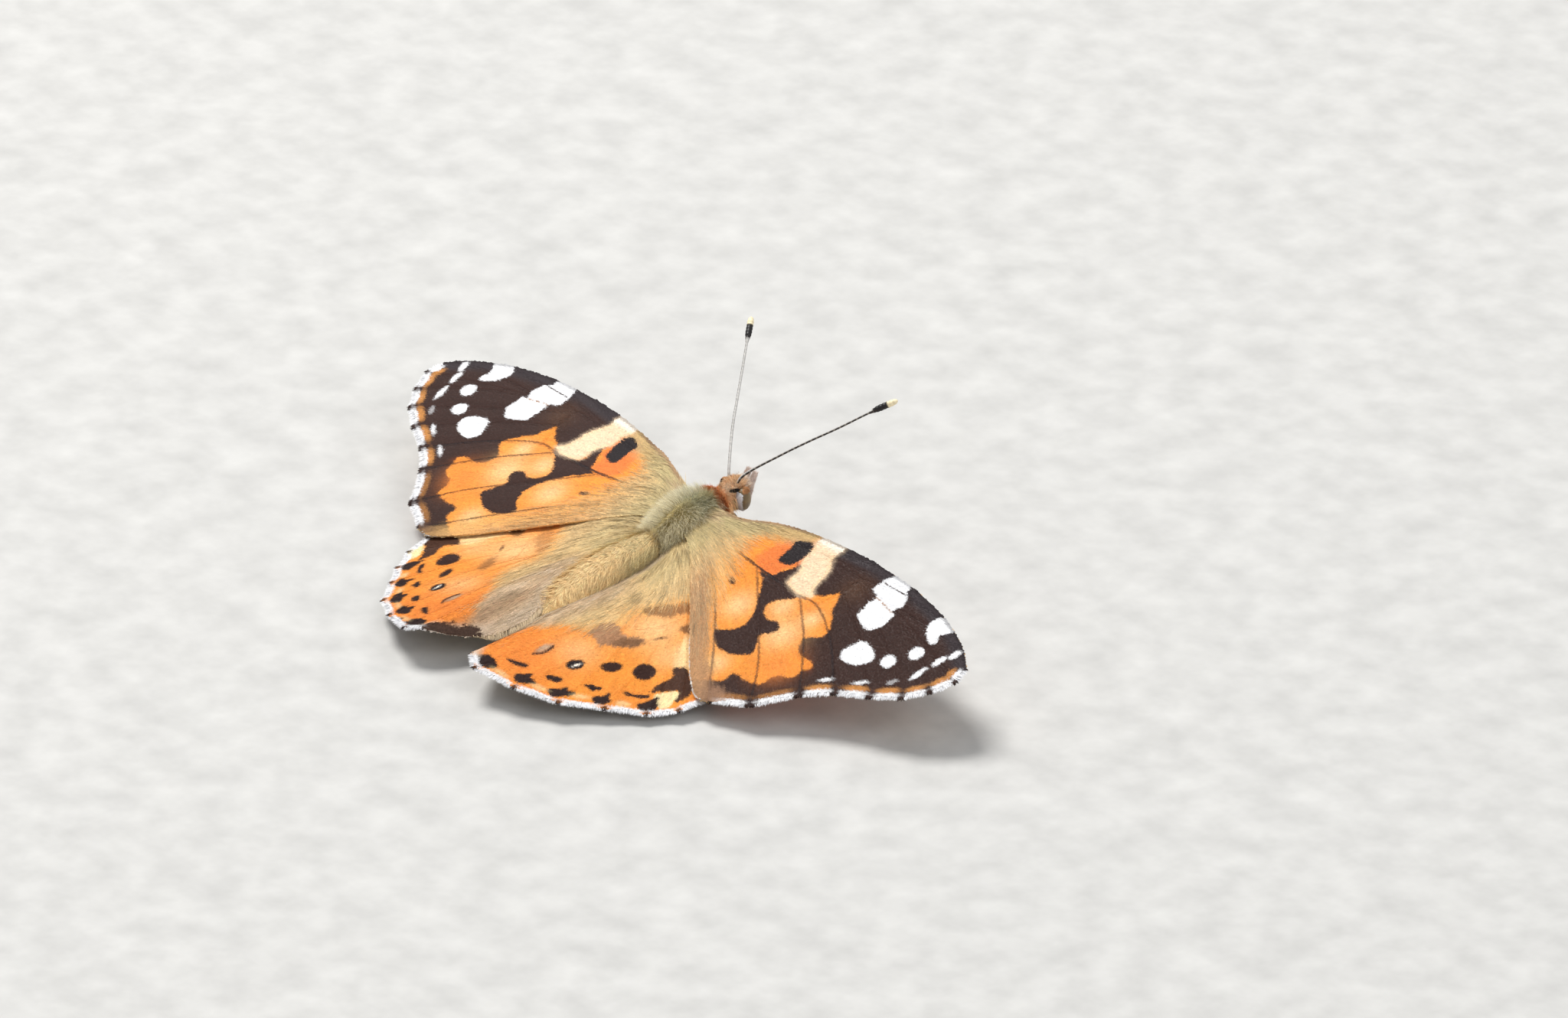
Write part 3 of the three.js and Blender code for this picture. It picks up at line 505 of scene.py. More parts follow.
def hind_top(x, y, side):
    p = Paint(HIND, x, y, ORANGE, 2)
    spread = x + side * MARK_SPREAD * (x - 3.5)
    strong = side > 0
    p.glow(AMBER_RED, 5.0, -22.5, 4.2, 0.95)
    p.glow(AMBER_RED, 13.0, -18.6, 1.6, 0.4)
    depth = tan_depth(x, y)
    p.x = spread
    p.glow(PEACH, 8.2, -12.2, 2.3, 0.8)
    p.glow(PEACH, 11.6, -13.4, 1.5, 0.5)
    p.glow(PEACH, 7.0, -18.6, 1.8, 0.5)
    front = [(11.0, -10.8), (11.1, -11.8), (12.0, -13.1), (12.7, -13.8), (13.4, -13.6), (14.2, -12.9)]
    p.patch(LEMON, front, 0.9, 2.0, 0.7)
    p.lay(GOLD, 0.85 * ramp(depth + 0.2 + 5 * p.wave, 1.0))
    p.lay(TAN, 0.85 * ramp(depth - 0.7 + 7 * p.wave, 1.6))
    p.lay(OLIVE, 0.5 * ramp(y + 8.6 + 0.2 * x + 6 * p.wave, 2.5) * ramp(4.5 - x, 2.5))
    p.patch(UMBER, HIND_BAND, 0.5, 3.0, 0.75 if strong else 0.4)
    shade = [(9.65, -10.9), (9.75, -10.3), (10.1, -9.8), (10.8, -10.0), (11.0, -10.6), (10.3, -11.0)]
    p.patch(BROWN, shade, 0.4, 1.5, 0.75)
    if strong:
        p.patch(DUSK, HIND_SMUDGE, 0.4, 3.0, 0.9)
    streaks = [(7.7, -16.0), (7.7, -15.1), (8.2, -14.4), (8.8, -13.7), (9.1, -14.1), (8.9, -15.0), (8.3, -15.9)]
    p.patch(UMBER, streaks, 0.6, 3.0, 0.8 if strong else 0.6)
    p.oval(BROWN, 9.5, -12.6, 0.28, 0.95, -30, 0.2, 0.7)
    p.patch(BROWN, HIND_CORNER, 0.2, 1.5, 0.97)
    p.patch(LEMON, HIND_CREAM, 0.2, 1.0)
    p.oval(BROWN, 11.8, -15.9, 1.7, 1.95, 0, 0.2)
    p.oval(BROWN, 9.92, -17.68, 0.9 + 0.2 * side, 1.7, -22, 0.2)
    p.oval(BLACK, 8.2, -19.85, 1.0, 1.5, -10, 0.2)
    p.oval(CREAM, 8.27, -19.85, 0.22, 0.85, -10, 0.12)
    p.oval(DUSK, 5.4, -20.8, 0.75, 1.6, 0, 0.3, 0.8)
    p.oval(MAUVE, 5.3, -20.6, 0.4, 1.1, 0, 0.3, 0.7)
    p.stroke(BROWN, [(5.4, -21.8), (5.72, -21.2), (5.7, -20.5), (5.55, -19.95)], 0.22, 0.2, 0.95)
    p.x = x
    for mark in HIND_EDGE_MARKS + HIND_SMALL_MARKS:
        p.patch(BROWN, mark, 0.16, 0.8)
        p.patch(BLACK, mark, 0.5, 0.8, 0.5)
    for cx, cy, wide, high, turn in [(13.2, -19.5, 0.6, 1.1, -35), (10.9, -21.7, 0.5, 1.2, -40),
                                     (8.5, -23.7, 0.45, 1.3, -60), (5.6, -25.2, 0.5, 1.3, -75)]:
        p.oval(LEMON, cx, cy, wide, high, turn, 0.4, 0.55)
    fold = ramp(3.4 - x, 1.8) * ramp(-11.0 - y, 4.0) * ramp(depth + 0.1 + 3 * p.wave, 0.9)
    p.lay(MAUVE, 0.85 * fold)
    streak = HIND.streak(x, y, 40, 0.3, 41)
    p.lay(srgb(236, 218, 196), 0.7 * fold * np.clip(streak, 0, 1))
    p.lay(DUSK, 0.6 * fold * np.clip(-streak, 0, 1))
    p.lay(DUSK, 0.5 * np.exp(-((x - 1.9) / 0.45) ** 2) * ramp(-12.5 - y, 4.0))
    p.lay(srgb(216, 196, 172), 0.8 * ramp(0.75 - p.inner, 0.7))
    if side < 0:
        p.lay(BROWN, 0.95 * ramp(0.75 - line_distance(x, y, HIND_REAR) + 6 * p.wave, 0.3))
    for a, b, span, inward, turn in HIND.spans():
        p.oval(WHITE, *((a + b) / 2 + 0.38 * inward), 0.84 * span, 0.45, turn, 0.2, 0.95)
        p.oval(BROWN, *(a + 0.15 * inward), 0.5, 0.5, 0, 0.3, 0.9)
    return p.grained(0.12)


def fore_under(x, y, side):
    p = Paint(FORE, x, y, ROSE, 5)
    p.lay(BUFF, 0.9 * ramp(x - 24.5 + 0.5 * (y + 3), 2.5))
    p.lay(BUFF, 0.7 * ramp(0.8 - p.costa, 0.6))
    p.patch(ROSE, FORE_CELL, 0.5, 1.0, 0.9)
    p.patch(CREAM, FORE_CREAM, 0.25)
    p.patch(BROWN, FORE_BLOB, 0.25, 1.2, 0.9)
    p.patch(BROWN, FORE_BAR, 0.2, 0.6, 0.9)
    dark = [(15.6, 1.9), (18.9, 2.0), (18.8, 0.5), (19.5, -1.2), (20.0, -2.8), (22.0, -3.5), (21.0, -4.8),
            (18.8, -3.4), (17.0, -2.2), (15.8, -2.6)]
    p.patch(BROWN, dark, 0.3, 1.0, 0.85)
    p.patch(WHITE, FORE_BARWHITE, 0.2)
    p.patch(UMBER, [(22.9, 1.6), (25.6, 1.2), (26.2, -2.0), (25.4, -5.6), (22.4, -9.4), (20.4, -9.0), (22.0, -6.4),
                    (24.6, -3.6), (23.4, -1.0)], 0.5, 1.0, 0.75)
    for cx, cy, wide, high in [(27.35, -2.2, 1.3, 1.2), (26.2, -3.95, 1.2, 1.1), (23.6, -4.85, 1.9, 1.6)]:
        p.oval(UMBER, cx, cy, wide + 0.5, high + 0.5, 0, 0.25, 0.8)
        p.oval(CREAM, cx, cy, wide, high, 0, 0.2)
    p.lay(UMBER, 0.5 * ramp(0.35 - np.abs(p.outer - 0.9), 0.3))
    p.lay(CREAM, 0.8 * ramp(0.4 - p.outer, 0.25))
    p.lay(CREAM, 0.5 * ramp(0.09 - FORE.vein_distance(x, y), 0.1))
    p.lay(TAN, ramp(0.5 - p.inner, 0.3))
    return p.grained(0.08)


def hind_under(x, y, side):
    p = Paint(HIND, x, y, BUFF, 6)
    r, turn = HIND.polar(x, y)
    cloud = noise(x * 0.55 + 3.1, y * 0.5, 8) + 0.45 * noise(x * 1.3, y * 1.2 + 5, 9)
    p.lay(UMBER, 0.75 * ramp(cloud - 0.15, 0.22))
    p.lay(CREAM, 0.8 * ramp(-0.35 - cloud, 0.2))
    band = np.abs(noise(r * 0.45, turn * 2.4, 10))
    p.lay(BROWN, 0.55 * ramp(0.06 - band, 0.06) * ramp(17.5 - r, 2))
    p.lay(CREAM, 0.8 * ramp(0.11 - HIND.vein_distance(x, y), 0.1))
    rings = ((BUFF, 1.0, 1.0, 0.3, 1.0), (BROWN, 1.0, 0.5, 0.2, 0.9), (srgb(222, 190, 110), 1.0, 0.0, 0.2, 1.0),
             (BLACK, 0.62, 0.0, 0.2, 1.0), (srgb(110, 150, 190), 0.3, 0.0, 0.15, 1.0))
    for cx, cy, wide in [(14.1, -14.4, 1.5), (11.7, -16.0, 2.0), (9.9, -17.9, 1.5), (8.2, -19.8, 1.5),
                         (5.5, -21.0, 2.0)]:
        for colour, share, more, edge, strength in rings:
            p.oval(colour, cx, cy, share * wide + more, share * wide + more, 0, edge, strength)
    p.lay(UMBER, 0.6 * ramp(0.2 - np.abs(p.outer - 1.35), 0.2))
    p.lay(srgb(150, 158, 170), 0.7 * ramp(0.22 - np.abs(p.outer - 0.85), 0.2))
    p.lay(WHITE, 0.85 * ramp(0.35 - p.outer, 0.25))
    p.lay(CREAM, 0.8 * ramp(2.6 - x, 0.8))
    return p.grained(0.08)


# ---------------------------------------------------------------- materials


def material(name, colour=None, rough=0.6, spread=0.15, grain=900.0, bump=0.2, **sockets):
    """Surface whose colour, roughness and bump vary with a noise; with no colour it reads the piece's own tint."""
    mat = bpy.data.materials.new(name)
    mat.use_nodes = True
    nodes, links = mat.node_tree.nodes, mat.node_tree.links
    shader = nodes["Principled BSDF"]

    def node(kind, **values):
        made = nodes.new("ShaderNode" + kind)
        for key, value in values.items():
            made.inputs[key.replace("_", " ")].default_value = value
        return made

    for key, value in sockets.items():
        shader.inputs[key.replace("_", " ")].default_value = value
    place, stretcher = node("TexCoord"), node("Mapping")
    links.new(place.outputs["Object"], stretcher.inputs["Vector"])
    texture = node("TexNoise", Scale=grain, Detail=3.0)
    links.new(stretcher.outputs["Vector"], texture.inputs["Vector"])
    level = node("MapRange", From_Min=0.3, From_Max=0.7, To_Min=1.0 - spread, To_Max=1.0 + spread)
    links.new(texture.outputs["Fac"], level.inputs["Value"])
    if colour is None:
        tint = node("Attribute")
        tint.attribute_name = "tint"
    else:
        tint = node("ValToRGB")
        tint.color_ramp.elements[0].color = (*(0.8 * np.array(colour)), 1)
        tint.color_ramp.elements[1].color = (*np.minimum(1.2 * np.array(colour), 1), 1)
        links.new(texture.outputs["Fac"], tint.inputs["Fac"])
    scale = node("VectorMath")
    scale.operation = "SCALE"
    links.new(tint.outputs["Color"], scale.inputs[0])
    links.new(level.outputs["Result"], scale.inputs["Scale"])
    links.new(scale.outputs["Vector"], shader.inputs["Base Color"])
    polish = node("MapRange", To_Min=rough - 0.08, To_Max=rough + 0.08)
    links.new(texture.outputs["Fac"], polish.inputs["Value"])
    links.new(polish.outputs["Result"], shader.inputs["Roughness"])
    relief = node("Bump", Strength=bump, Distance=0.03 * MM)
    links.new(texture.outputs["Fac"], relief.inputs["Height"])
    links.new(relief.outputs["Normal"], shader.inputs["Normal"])
    return mat


SCALE_COAT = material("wing scales", rough=0.62, spread=0.10, grain=9000, bump=0.25, Specular_IOR_Level=0.15)
WING_SKIN = material("wing membrane", rough=0.55, spread=0.12, grain=7000, bump=0.4, Specular_IOR_Level=0.2)
FUR = material("fur", rough=0.7, spread=0.14, grain=2500, bump=0.15, Specular_IOR_Level=0.2)
BODY_SKIN = material("body skin", rough=0.6, spread=0.25, grain=4000, bump=0.5)
HORN = material("horn", rough=0.45, spread=0.15, grain=5000, bump=0.3)

# ---------------------------------------------------------------- meshes


def flipped(faces):
    return [f[:, ::-1] for f in faces]


def piece(name, points, faces, skin, tint=None, patches=None, smooth=True):
    """Mesh object from points in millimetres from the neck; faces is a list of arrays of triangles or quads."""
    mesh = bpy.data.meshes.new(name)
    place = ((np.asarray(points) + NECK) * MM).astype(np.float32)
    corners = np.concatenate([f.ravel() for f in faces]).astype(np.int32)
    sizes = np.concatenate([np.full(len(f), f.shape[1]) for f in faces])
    starts = np.concatenate([[0], np.cumsum(sizes)[:-1]]).astype(np.int32)
    mesh.vertices.add(len(place))
    mesh.vertices.foreach_set("co", place.ravel())
    mesh.loops.add(len(corners))
    mesh.loops.foreach_set("vertex_index", corners)
    mesh.polygons.add(len(sizes))
    mesh.polygons.foreach_set("loop_start", starts)
    mesh.update(calc_edges=True)
    if tint is not None:
        layer = mesh.color_attributes.new("tint", "FLOAT_COLOR", "POINT")
        rgba = np.column_stack([np.clip(tint, 0, 1), np.ones(len(tint))]).astype(np.float32)
        layer.data.foreach_set("color", rgba.ravel())
    if patches is not None:
        unwrap = mesh.uv_layers.new(name="OFBake")
        unwrap.data.foreach_set("uv", patches[corners].astype(np.float32).ravel())
    mesh.polygons.foreach_set("use_smooth", np.full(len(sizes), smooth))
    mesh.materials.append(skin)
    obj = bpy.data.objects.new(name, mesh)
    bpy.context.scene.collection.objects.link(obj)
    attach(obj, "root")
    return obj


def paired(name, side, slot, points, faces, skin, tint, patches=None):
    """A piece of the right half, or its mirror image on the left."""
    faces = faces if side > 0 else flipped(faces)
    return piece(name, points * np.array([side, 1, 1]), faces, skin, tint, patches)


UV_PATCH = 0.003          # size of one tuft on the unwrap


def stacked(rows, width):
    return np.stack(rows, 1).reshape(-1, width)


def plates(roots, along, normal, length, width, rise, tint, unwrap):
    """Small rounded scales of three triangles each, rising from their roots."""
    over = unit(np.cross(normal, along))
    length, width, rise = (v[:, None] for v in (length, width, rise))
    points, uvs = [], []
    for t, s in [(0.0, -0.28), (0.0, 0.28), (0.6, 0.5), (0.6, -0.5), (1.0, 0.0)]:
        points.append(roots + along * length * t + over * width * s + normal * rise * t)
        uvs.append(unwrap + UV_PATCH * np.array([t - 0.5, s]))
    base = np.arange(len(roots))[:, None] * 5
    faces = [base + np.array(f) for f in ([0, 1, 2, 3], [3, 2, 4])]
    return stacked(points, 3), faces, np.repeat(tint, 5, 0), stacked(uvs, 2)


def blades(roots, along, normal, length, width, lift, droop, low, high, unwrap, rng):
    """Tapered hairs of five triangles: each leaves its root at a lift angle and bends over along the lie."""
    n = len(roots)
    width, lift, droop = (np.broadcast_to(v, n) for v in (width, lift, droop))
    side = unit(np.cross(normal, along) + 0.2 * rng.normal(size=(n, 3)))
    start = unit(along * np.cos(lift)[:, None] + normal * np.sin(lift)[:, None])
    end = unit(along * np.cos(lift - droop)[:, None] + normal * np.sin(lift - droop)[:, None])
    length, width = length[:, None], width[:, None]
    points, colours, uvs = [], [], []
    at, last = roots - start * 0.05 * length, 0.0
    for t, w in [(0.0, 0.7), (0.34, 1.0), (0.7, 0.7), (1.0, 0.0)]:
        at = at + unit(start * (1 - t) + end * t) * length * (t - last)
        last = t
        for s in ((-0.5, 0.5) if w else (0.0,)):
            points.append(at + side * width * w * s)
            colours.append(low + (high - low) * t)
            uvs.append(unwrap + UV_PATCH * np.array([t - 0.5, s * w]))
    base = np.arange(n)[:, None] * 7
    faces = [base + np.array(f) for f in ([0, 1, 3, 2], [2, 3, 5, 4], [4, 5, 6])]
    return stacked(points, 3), faces, stacked(colours, 3), stacked(uvs, 2)


# ---------------------------------------------------------------- wings

GRID_STEP = 0.27          # spacing of the skin's points between the veins
ROW_SHARE = 0.87          # distance between their rows, in such spacings
VEIN_STEP = 0.3           # and along them
VEIN_ROWS = (-0.3, -0.15, 0.0, 0.15, 0.3)
VEIN_CLEAR, EDGE_CLEAR, POINT_CLEAR = 0.4, 0.12, 0.1      # least distance of points to a vein, the edge, each other
SCALE_STEPS = ((1, "upper", 0.135), (-1, "lower", 0.19))
HAIR_STEP = 0.085         # spacing of the long hair where it is densest
FRINGE_STEP = 0.011       # spacing of the hair scales along the margin


def wing_mesh(wing):
    """Triangles over the plan of a wing, with rows of points along each vein."""
    rim = wing.rim
    rows, grid = [], []
    for line in wing.veins:
        fine = spline(line, VEIN_STEP)
        way = unit(np.gradient(fine, axis=0))
        for gap in VEIN_ROWS:
            rows.append(fine + gap * np.column_stack([-way[:, 1], way[:, 0]]))
    low, high = rim.min(0), rim.max(0)
    for j in range(int((high[1] - low[1]) / (GRID_STEP * ROW_SHARE)) + 1):
        x = np.arange(low[0] + (j % 2) * GRID_STEP / 2, high[0], GRID_STEP)
        grid.append(np.column_stack([x, np.full(len(x), low[1] + j * GRID_STEP * ROW_SHARE)]))
    grid = np.vstack(grid)
    grid = grid[wing.vein_distance(*grid.T) > VEIN_CLEAR]
    inner = np.vstack(rows + [grid])
    inner = inner[inside(*inner.T, rim) & (edge_distance(*inner.T, rim) > EDGE_CLEAR)]
    inner = inner[np.unique(np.round(inner / POINT_CLEAR).astype(int), axis=0, return_index=True)[1]]
    points = np.vstack([rim, inner])
    edges = [(i, (i + 1) % len(rim)) for i in range(len(rim))]
    made = delaunay_2d_cdt([Vector(p) for p in points], edges, [], 1, 1e-6)
    plan, faces = np.array([tuple(v) for v in made[0]]), np.array([tuple(f) for f in made[2]])
    (ax, ay), (bx, by) = (plan[faces[:, 1]] - plan[faces[:, 0]]).T, (plan[faces[:, 2]] - plan[faces[:, 0]]).T
    under = ax * by - ay * bx < 0
    faces[under] = faces[under][:, ::-1]
    return plan, faces


def border(faces):
    """Edges that belong to one triangle only, in their turning sense."""
    edges = np.vstack([faces[:, [0, 1]], faces[:, [1, 2]], faces[:, [2, 0]]]).tolist()
    known = {(a, b) for a, b in edges}
    return np.array([e for e in edges if (e[1], e[0]) not in known])


# The right hindwing is held a little further forward than the left one, and the left forewing is arched at its base
DRIFT = {("hindwing", 1): 0.35}
ARCH = {("forewing", -1): (0.45, 0.55)}


def held(points, side, kind):
    """Points of a wing, on their own side and in the pose of the photo."""
    forward, up = ARCH.get((kind, side), (0, 0))
    arch = np.exp(-((points[:, 0] - 4.6) / 2.6) ** 2) * ramp(points[:, 1] + 3.2, 2.8)
    placed = points * np.array([side, 1, 1])
    placed[:, 1] += DRIFT.get((kind, side), 0.0) + forward * arch
    placed[:, 2] += up * arch
    return placed


def on_surface(way, dx, dy):
    """Direction over the wing's surface that has the given direction in plan."""
    return unit(np.column_stack([way, dx * way[:, 0] + dy * way[:, 1]]))


def grow_wing(kind, wing, top_paint, under_paint):
    plan, faces = wing_mesh(wing)
    n = len(plan)
    z, up, _, _ = wing.relief(*plan.T)
    middle = np.column_stack([plan, z])
    a, b = border(faces).T
    edge = np.column_stack([a, a + n, b + n, b])
    for side, word in BOTH:
        points = held(np.vstack([middle + up * MEMBRANE / 2, middle - up * MEMBRANE / 2]), side, kind)
        tint = np.vstack([top_paint(*plan.T, side), under_paint(*plan.T, side)])
        groups = [faces, faces[:, ::-1] + n, edge]
        groups = groups if side > 0 else flipped(groups)
        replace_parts(piece(f"{kind}_{word}_skin", points, groups, WING_SKIN, tint), f"{kind}_{word}")
        for face, level, step in SCALE_STEPS:
            rng = np.random.default_rng([len(kind), side + 2, face + 2])
            px, py = wing.scatter(step / FINE, rng)
            pz, normal, dx, dy = wing.relief(px, py)
            n_scales = len(px)
            along = on_surface(wing.flow(px, py, rng.normal(0, 0.10, n_scales)), dx, dy)
            outward = normal * face
            roots = np.column_stack([px, py, pz]) + outward * (MEMBRANE / 2 - 0.004) - along * step * 0.5
            paint = top_paint if face > 0 else under_paint
            shade = paint(px, py, side) * (1 + rng.normal(0, 0.07, n_scales))[:, None]
            length = step * 1.75 * rng.uniform(0.85, 1.15, n_scales) / FINE
            width = step * 1.15 * rng.uniform(0.85, 1.15, n_scales) / FINE
            rise = rng.uniform(0.012, 0.04, n_scales)
            p, f, c, uv = plates(roots, along, outward, length, width, rise, shade, wing.unwrap(px, py))
            f = f if side > 0 else flipped(f)
            piece(f"{kind}_{word}_{level}_scales", held(p, side, kind), f, SCALE_COAT, c, uv, smooth=False)
        fringe(kind, wing, side, word)
        wing_hair(kind, wing, side, word, top_paint)


def fringe(kind, wing, side, word):
    """Hair scales along the outer margin, white between the veins and dark at their tips, and on the inner one."""
    rng = np.random.default_rng([len(kind), side + 2, 40])
    if kind == "forewing":
        dark, back = 0.36, wing.inner[wing.inner[:, 0] > (10.0 if side > 0 else 15.2)]
        lean, tone, reach = (0.75, -0.9), srgb(226, 218, 210), 0.4
    else:
        dark, back = 0.16, wing.inner[(wing.inner[:, 1] < -11.0) & (wing.inner[:, 1] > -22.6)]
        lean, tone, reach = (-0.95, -0.55), srgb(214, 192, 158), 0.8
    plan, way, shade, length = [], [], [], []
    for a, b, span, inward, _ in wing.spans():
        count = int(span / FRINGE_STEP * FINE)
        t = rng.uniform(0, 1, count)
        plan.append(wing.margin(a, b, span, inward, t, rng.uniform(-0.02, 0.22, count)))
        way.append(-inward + 0.07 * rng.normal(size=(2, count)).T)
        pale = ramp(np.sin(np.pi * t) - dark + 0.05 * rng.normal(size=count), 0.15)[:, None]
        shade.append(WHITE * pale + BROWN * 0.8 * (1 - pale))
        length.append(0.26 + 0.36 * np.sin(np.pi * t))
    count = int(len(back) * 20 * reach * FINE)
    pick = rng.integers(0, len(back) - 1, count)
    spot = back[pick] + (back[pick + 1] - back[pick]) * rng.uniform(0, 1, count)[:, None]
    plan = np.vstack(plan + [spot - 0.07 * unit(lean)])
    way = unit(np.vstack(way + [lean + 0.15 * rng.normal(size=(count, 2))]))
    shade = np.vstack(shade + [np.tile(tone, (count, 1))])
    to_end = np.minimum(*(np.linalg.norm(spot - back[k], axis=1) for k in (0, -1)))
    length.append(reach * (0.2 + 0.8 * ramp(to_end - 1.2, 2.4)))
    n = len(plan)
    length = np.concatenate(length) * rng.uniform(0.94, 1.05, n)
    z, normal, dx, dy = wing.relief(*plan.T)
    roots = np.column_stack([plan, z]) + normal * rng.uniform(-0.07, 0.08, n)[:, None]
    p, f, c, uv = blades(roots, on_surface(way, dx, dy), normal, length, 0.055, rng.uniform(-0.1, 0.15, n), 0.0,
                         shade * 0.95, shade, wing.unwrap(*plan.T), rng)
    piece(f"{kind}_{word}_fringe", held(p, side, kind), f, FUR, c, uv)


def wing_hair(kind, wing, side, word, paint):
    """Long soft hair over the base of a wing, thinning outwards."""
    rng = np.random.default_rng([len(kind), side + 2, 60])
    x, y = wing.scatter(HAIR_STEP / FINE, rng)
    if kind == "forewing":
        cover = ramp(signed(x, y, ring(FORE_TAN)) - 0.2, 2.6) * 0.85 * ramp(8.6 - x - 0.25 * y, 5)
    else:
        clear = ramp(line_distance(x, y, HIND_REAR) - 2.2, 1.6)
        cover = ramp(tan_depth(x, y) - 0.4, 3.0) * 0.8 * ramp(y + 21.5, 6.0) * clear
        cover = np.maximum(cover, 0.6 * ramp(3.0 - x, 1.2) * ramp(y + 24.5, 1.5) * clear)
    keep = rng.uniform(0, 1, len(x)) < cover
    x, y = x[keep], y[keep]
    n = len(x)
    z, normal, dx, dy = wing.relief(x, y)
    along = on_surface(wing.flow(x, y, rng.normal(0, 0.11, n) + 0.12 * noise(x * 0.9, y * 0.9, 31)), dx, dy)
    roots = np.column_stack([x, y, z]) + normal * MEMBRANE / 2
    pale = paint(x, y, side) * 0.66 + srgb(232, 206, 160) * 0.32
    band = 1 + 0.24 * wing.streak(x, y, 45, 0.35, 32) + 0.16 * wing.streak(x, y, 120, 0.7, 33)
    shade = pale * (band * (1 + rng.normal(0, 0.13, n)))[:, None]
    length = rng.uniform(0.8, 1.8, n) * (0.75 + 0.25 * ramp(y + 18, 8))
    p, f, c, uv = blades(roots, along, normal, length, 0.036, rng.uniform(0.0, 0.12, n), rng.uniform(0.06, 0.18, n),
                         shade * 0.8, shade, wing.unwrap(x, y), rng)
    piece(f"{kind}_{word}_hair", held(p, side, kind), f, FUR, c, uv)


grow_wing("forewing", FORE, fore_top, fore_under)
grow_wing("hindwing", HIND, hind_top, hind_under)

# ---------------------------------------------------------------- body

# Skin of head, neck, thorax and waist as [y, z, half width, half height], inside the solids; the abdomen follows
TRUNK = [(3.1, -0.25, 0.3, 0.38), (2.92, -0.16, 0.62, 0.75), (2.62, -0.06, 0.86, 1.0),
         (2.15, -0.02, 0.98, 1.12), (1.75, -0.08, 0.93, 1.05), (1.35, -0.22, 0.8, 0.95),
         (1.0, -0.42, 0.78, 1.02), (0.6, -0.68, 1.0, 1.3), (0.2, -0.86, 1.32, 1.58),
         (-0.6, -1.15, 1.75, 2.02), (-1.9, -1.4, 2.05, 2.32), (-3.3, -1.6, 2.0, 2.18),
         (-4.5, -1.75, 1.65, 1.75), (-5.2, -1.83, 1.3, 1.32), (-5.7, -1.88, 1.05, 1.05)]
ABDOMEN_FROM, ABDOMEN_TO = -6.1, -16.5
ABDOMEN_CUTS = 24
SEGMENTS = 8
SIDES = 56                # points around the body
ROW_STEP = 0.12


def abdomen_row(t):
    taper = 0.66 + 0.34 * math.sin(math.pi * t) if t < 0.5 else 1 - 0.82 * (2 * t - 1) ** 2.6
    r = 1.78 * taper
    return ABDOMEN_FROM + (ABDOMEN_TO - ABDOMEN_FROM) * t, -1.9 - 1.9 * t - 0.85 * t * t, r, r * 0.98


def segment(y):
    """Place along the abdomen, counted in segments, and distance to the next joint."""
    t = (y - ABDOMEN_FROM) / (ABDOMEN_TO - ABDOMEN_FROM) * SEGMENTS
    return t, np.abs(t - np.round(t))


def body_grid():
    """Rings of points down the body, pinched a little at each joint of the abdomen, with their normals."""
    turn = 2 * np.pi * np.arange(SIDES) / SIDES
    y, z, wide, high = BODY_ROWS.T
    t, gap = segment(y)
    pinch = np.where((t > 0.3) & (t < 7.8), 1 - 0.05 * np.exp(-(gap / 0.10) ** 2), 1.0)
    x = (wide * pinch)[:, None] * np.cos(turn)
    z = z[:, None] + (high * pinch)[:, None] * np.sin(turn)
    grid = np.stack([x, np.repeat(y[:, None], SIDES, 1), z], -1)
    around = np.roll(grid, -1, 1) - np.roll(grid, 1, 1)
    return grid, unit(np.cross(around, np.gradient(grid, axis=0)))


BODY_ROWS = spline(TRUNK + [abdomen_row(i / ABDOMEN_CUTS) for i in range(ABDOMEN_CUTS + 1)], ROW_STEP)
BODY, BODY_NORMALS = body_grid()
BODY_WAY = np.concatenate([[0], np.cumsum(np.linalg.norm(np.diff(BODY_ROWS[:, :2], axis=0), axis=1))])

DEEP_TEAL = srgb(168, 156, 108)
TEAL = srgb(166, 182, 168)
MOSS = srgb(216, 190, 124)
PALE_GREEN = srgb(220, 200, 138)
RUFOUS = srgb(240, 176, 118)
AMBER = srgb(250, 212, 166)
GOLDEN = srgb(250, 222, 166)
BRONZE = srgb(234, 198, 142)
IVORY = srgb(232, 222, 200)
PALE_HALO = srgb(238, 230, 200)


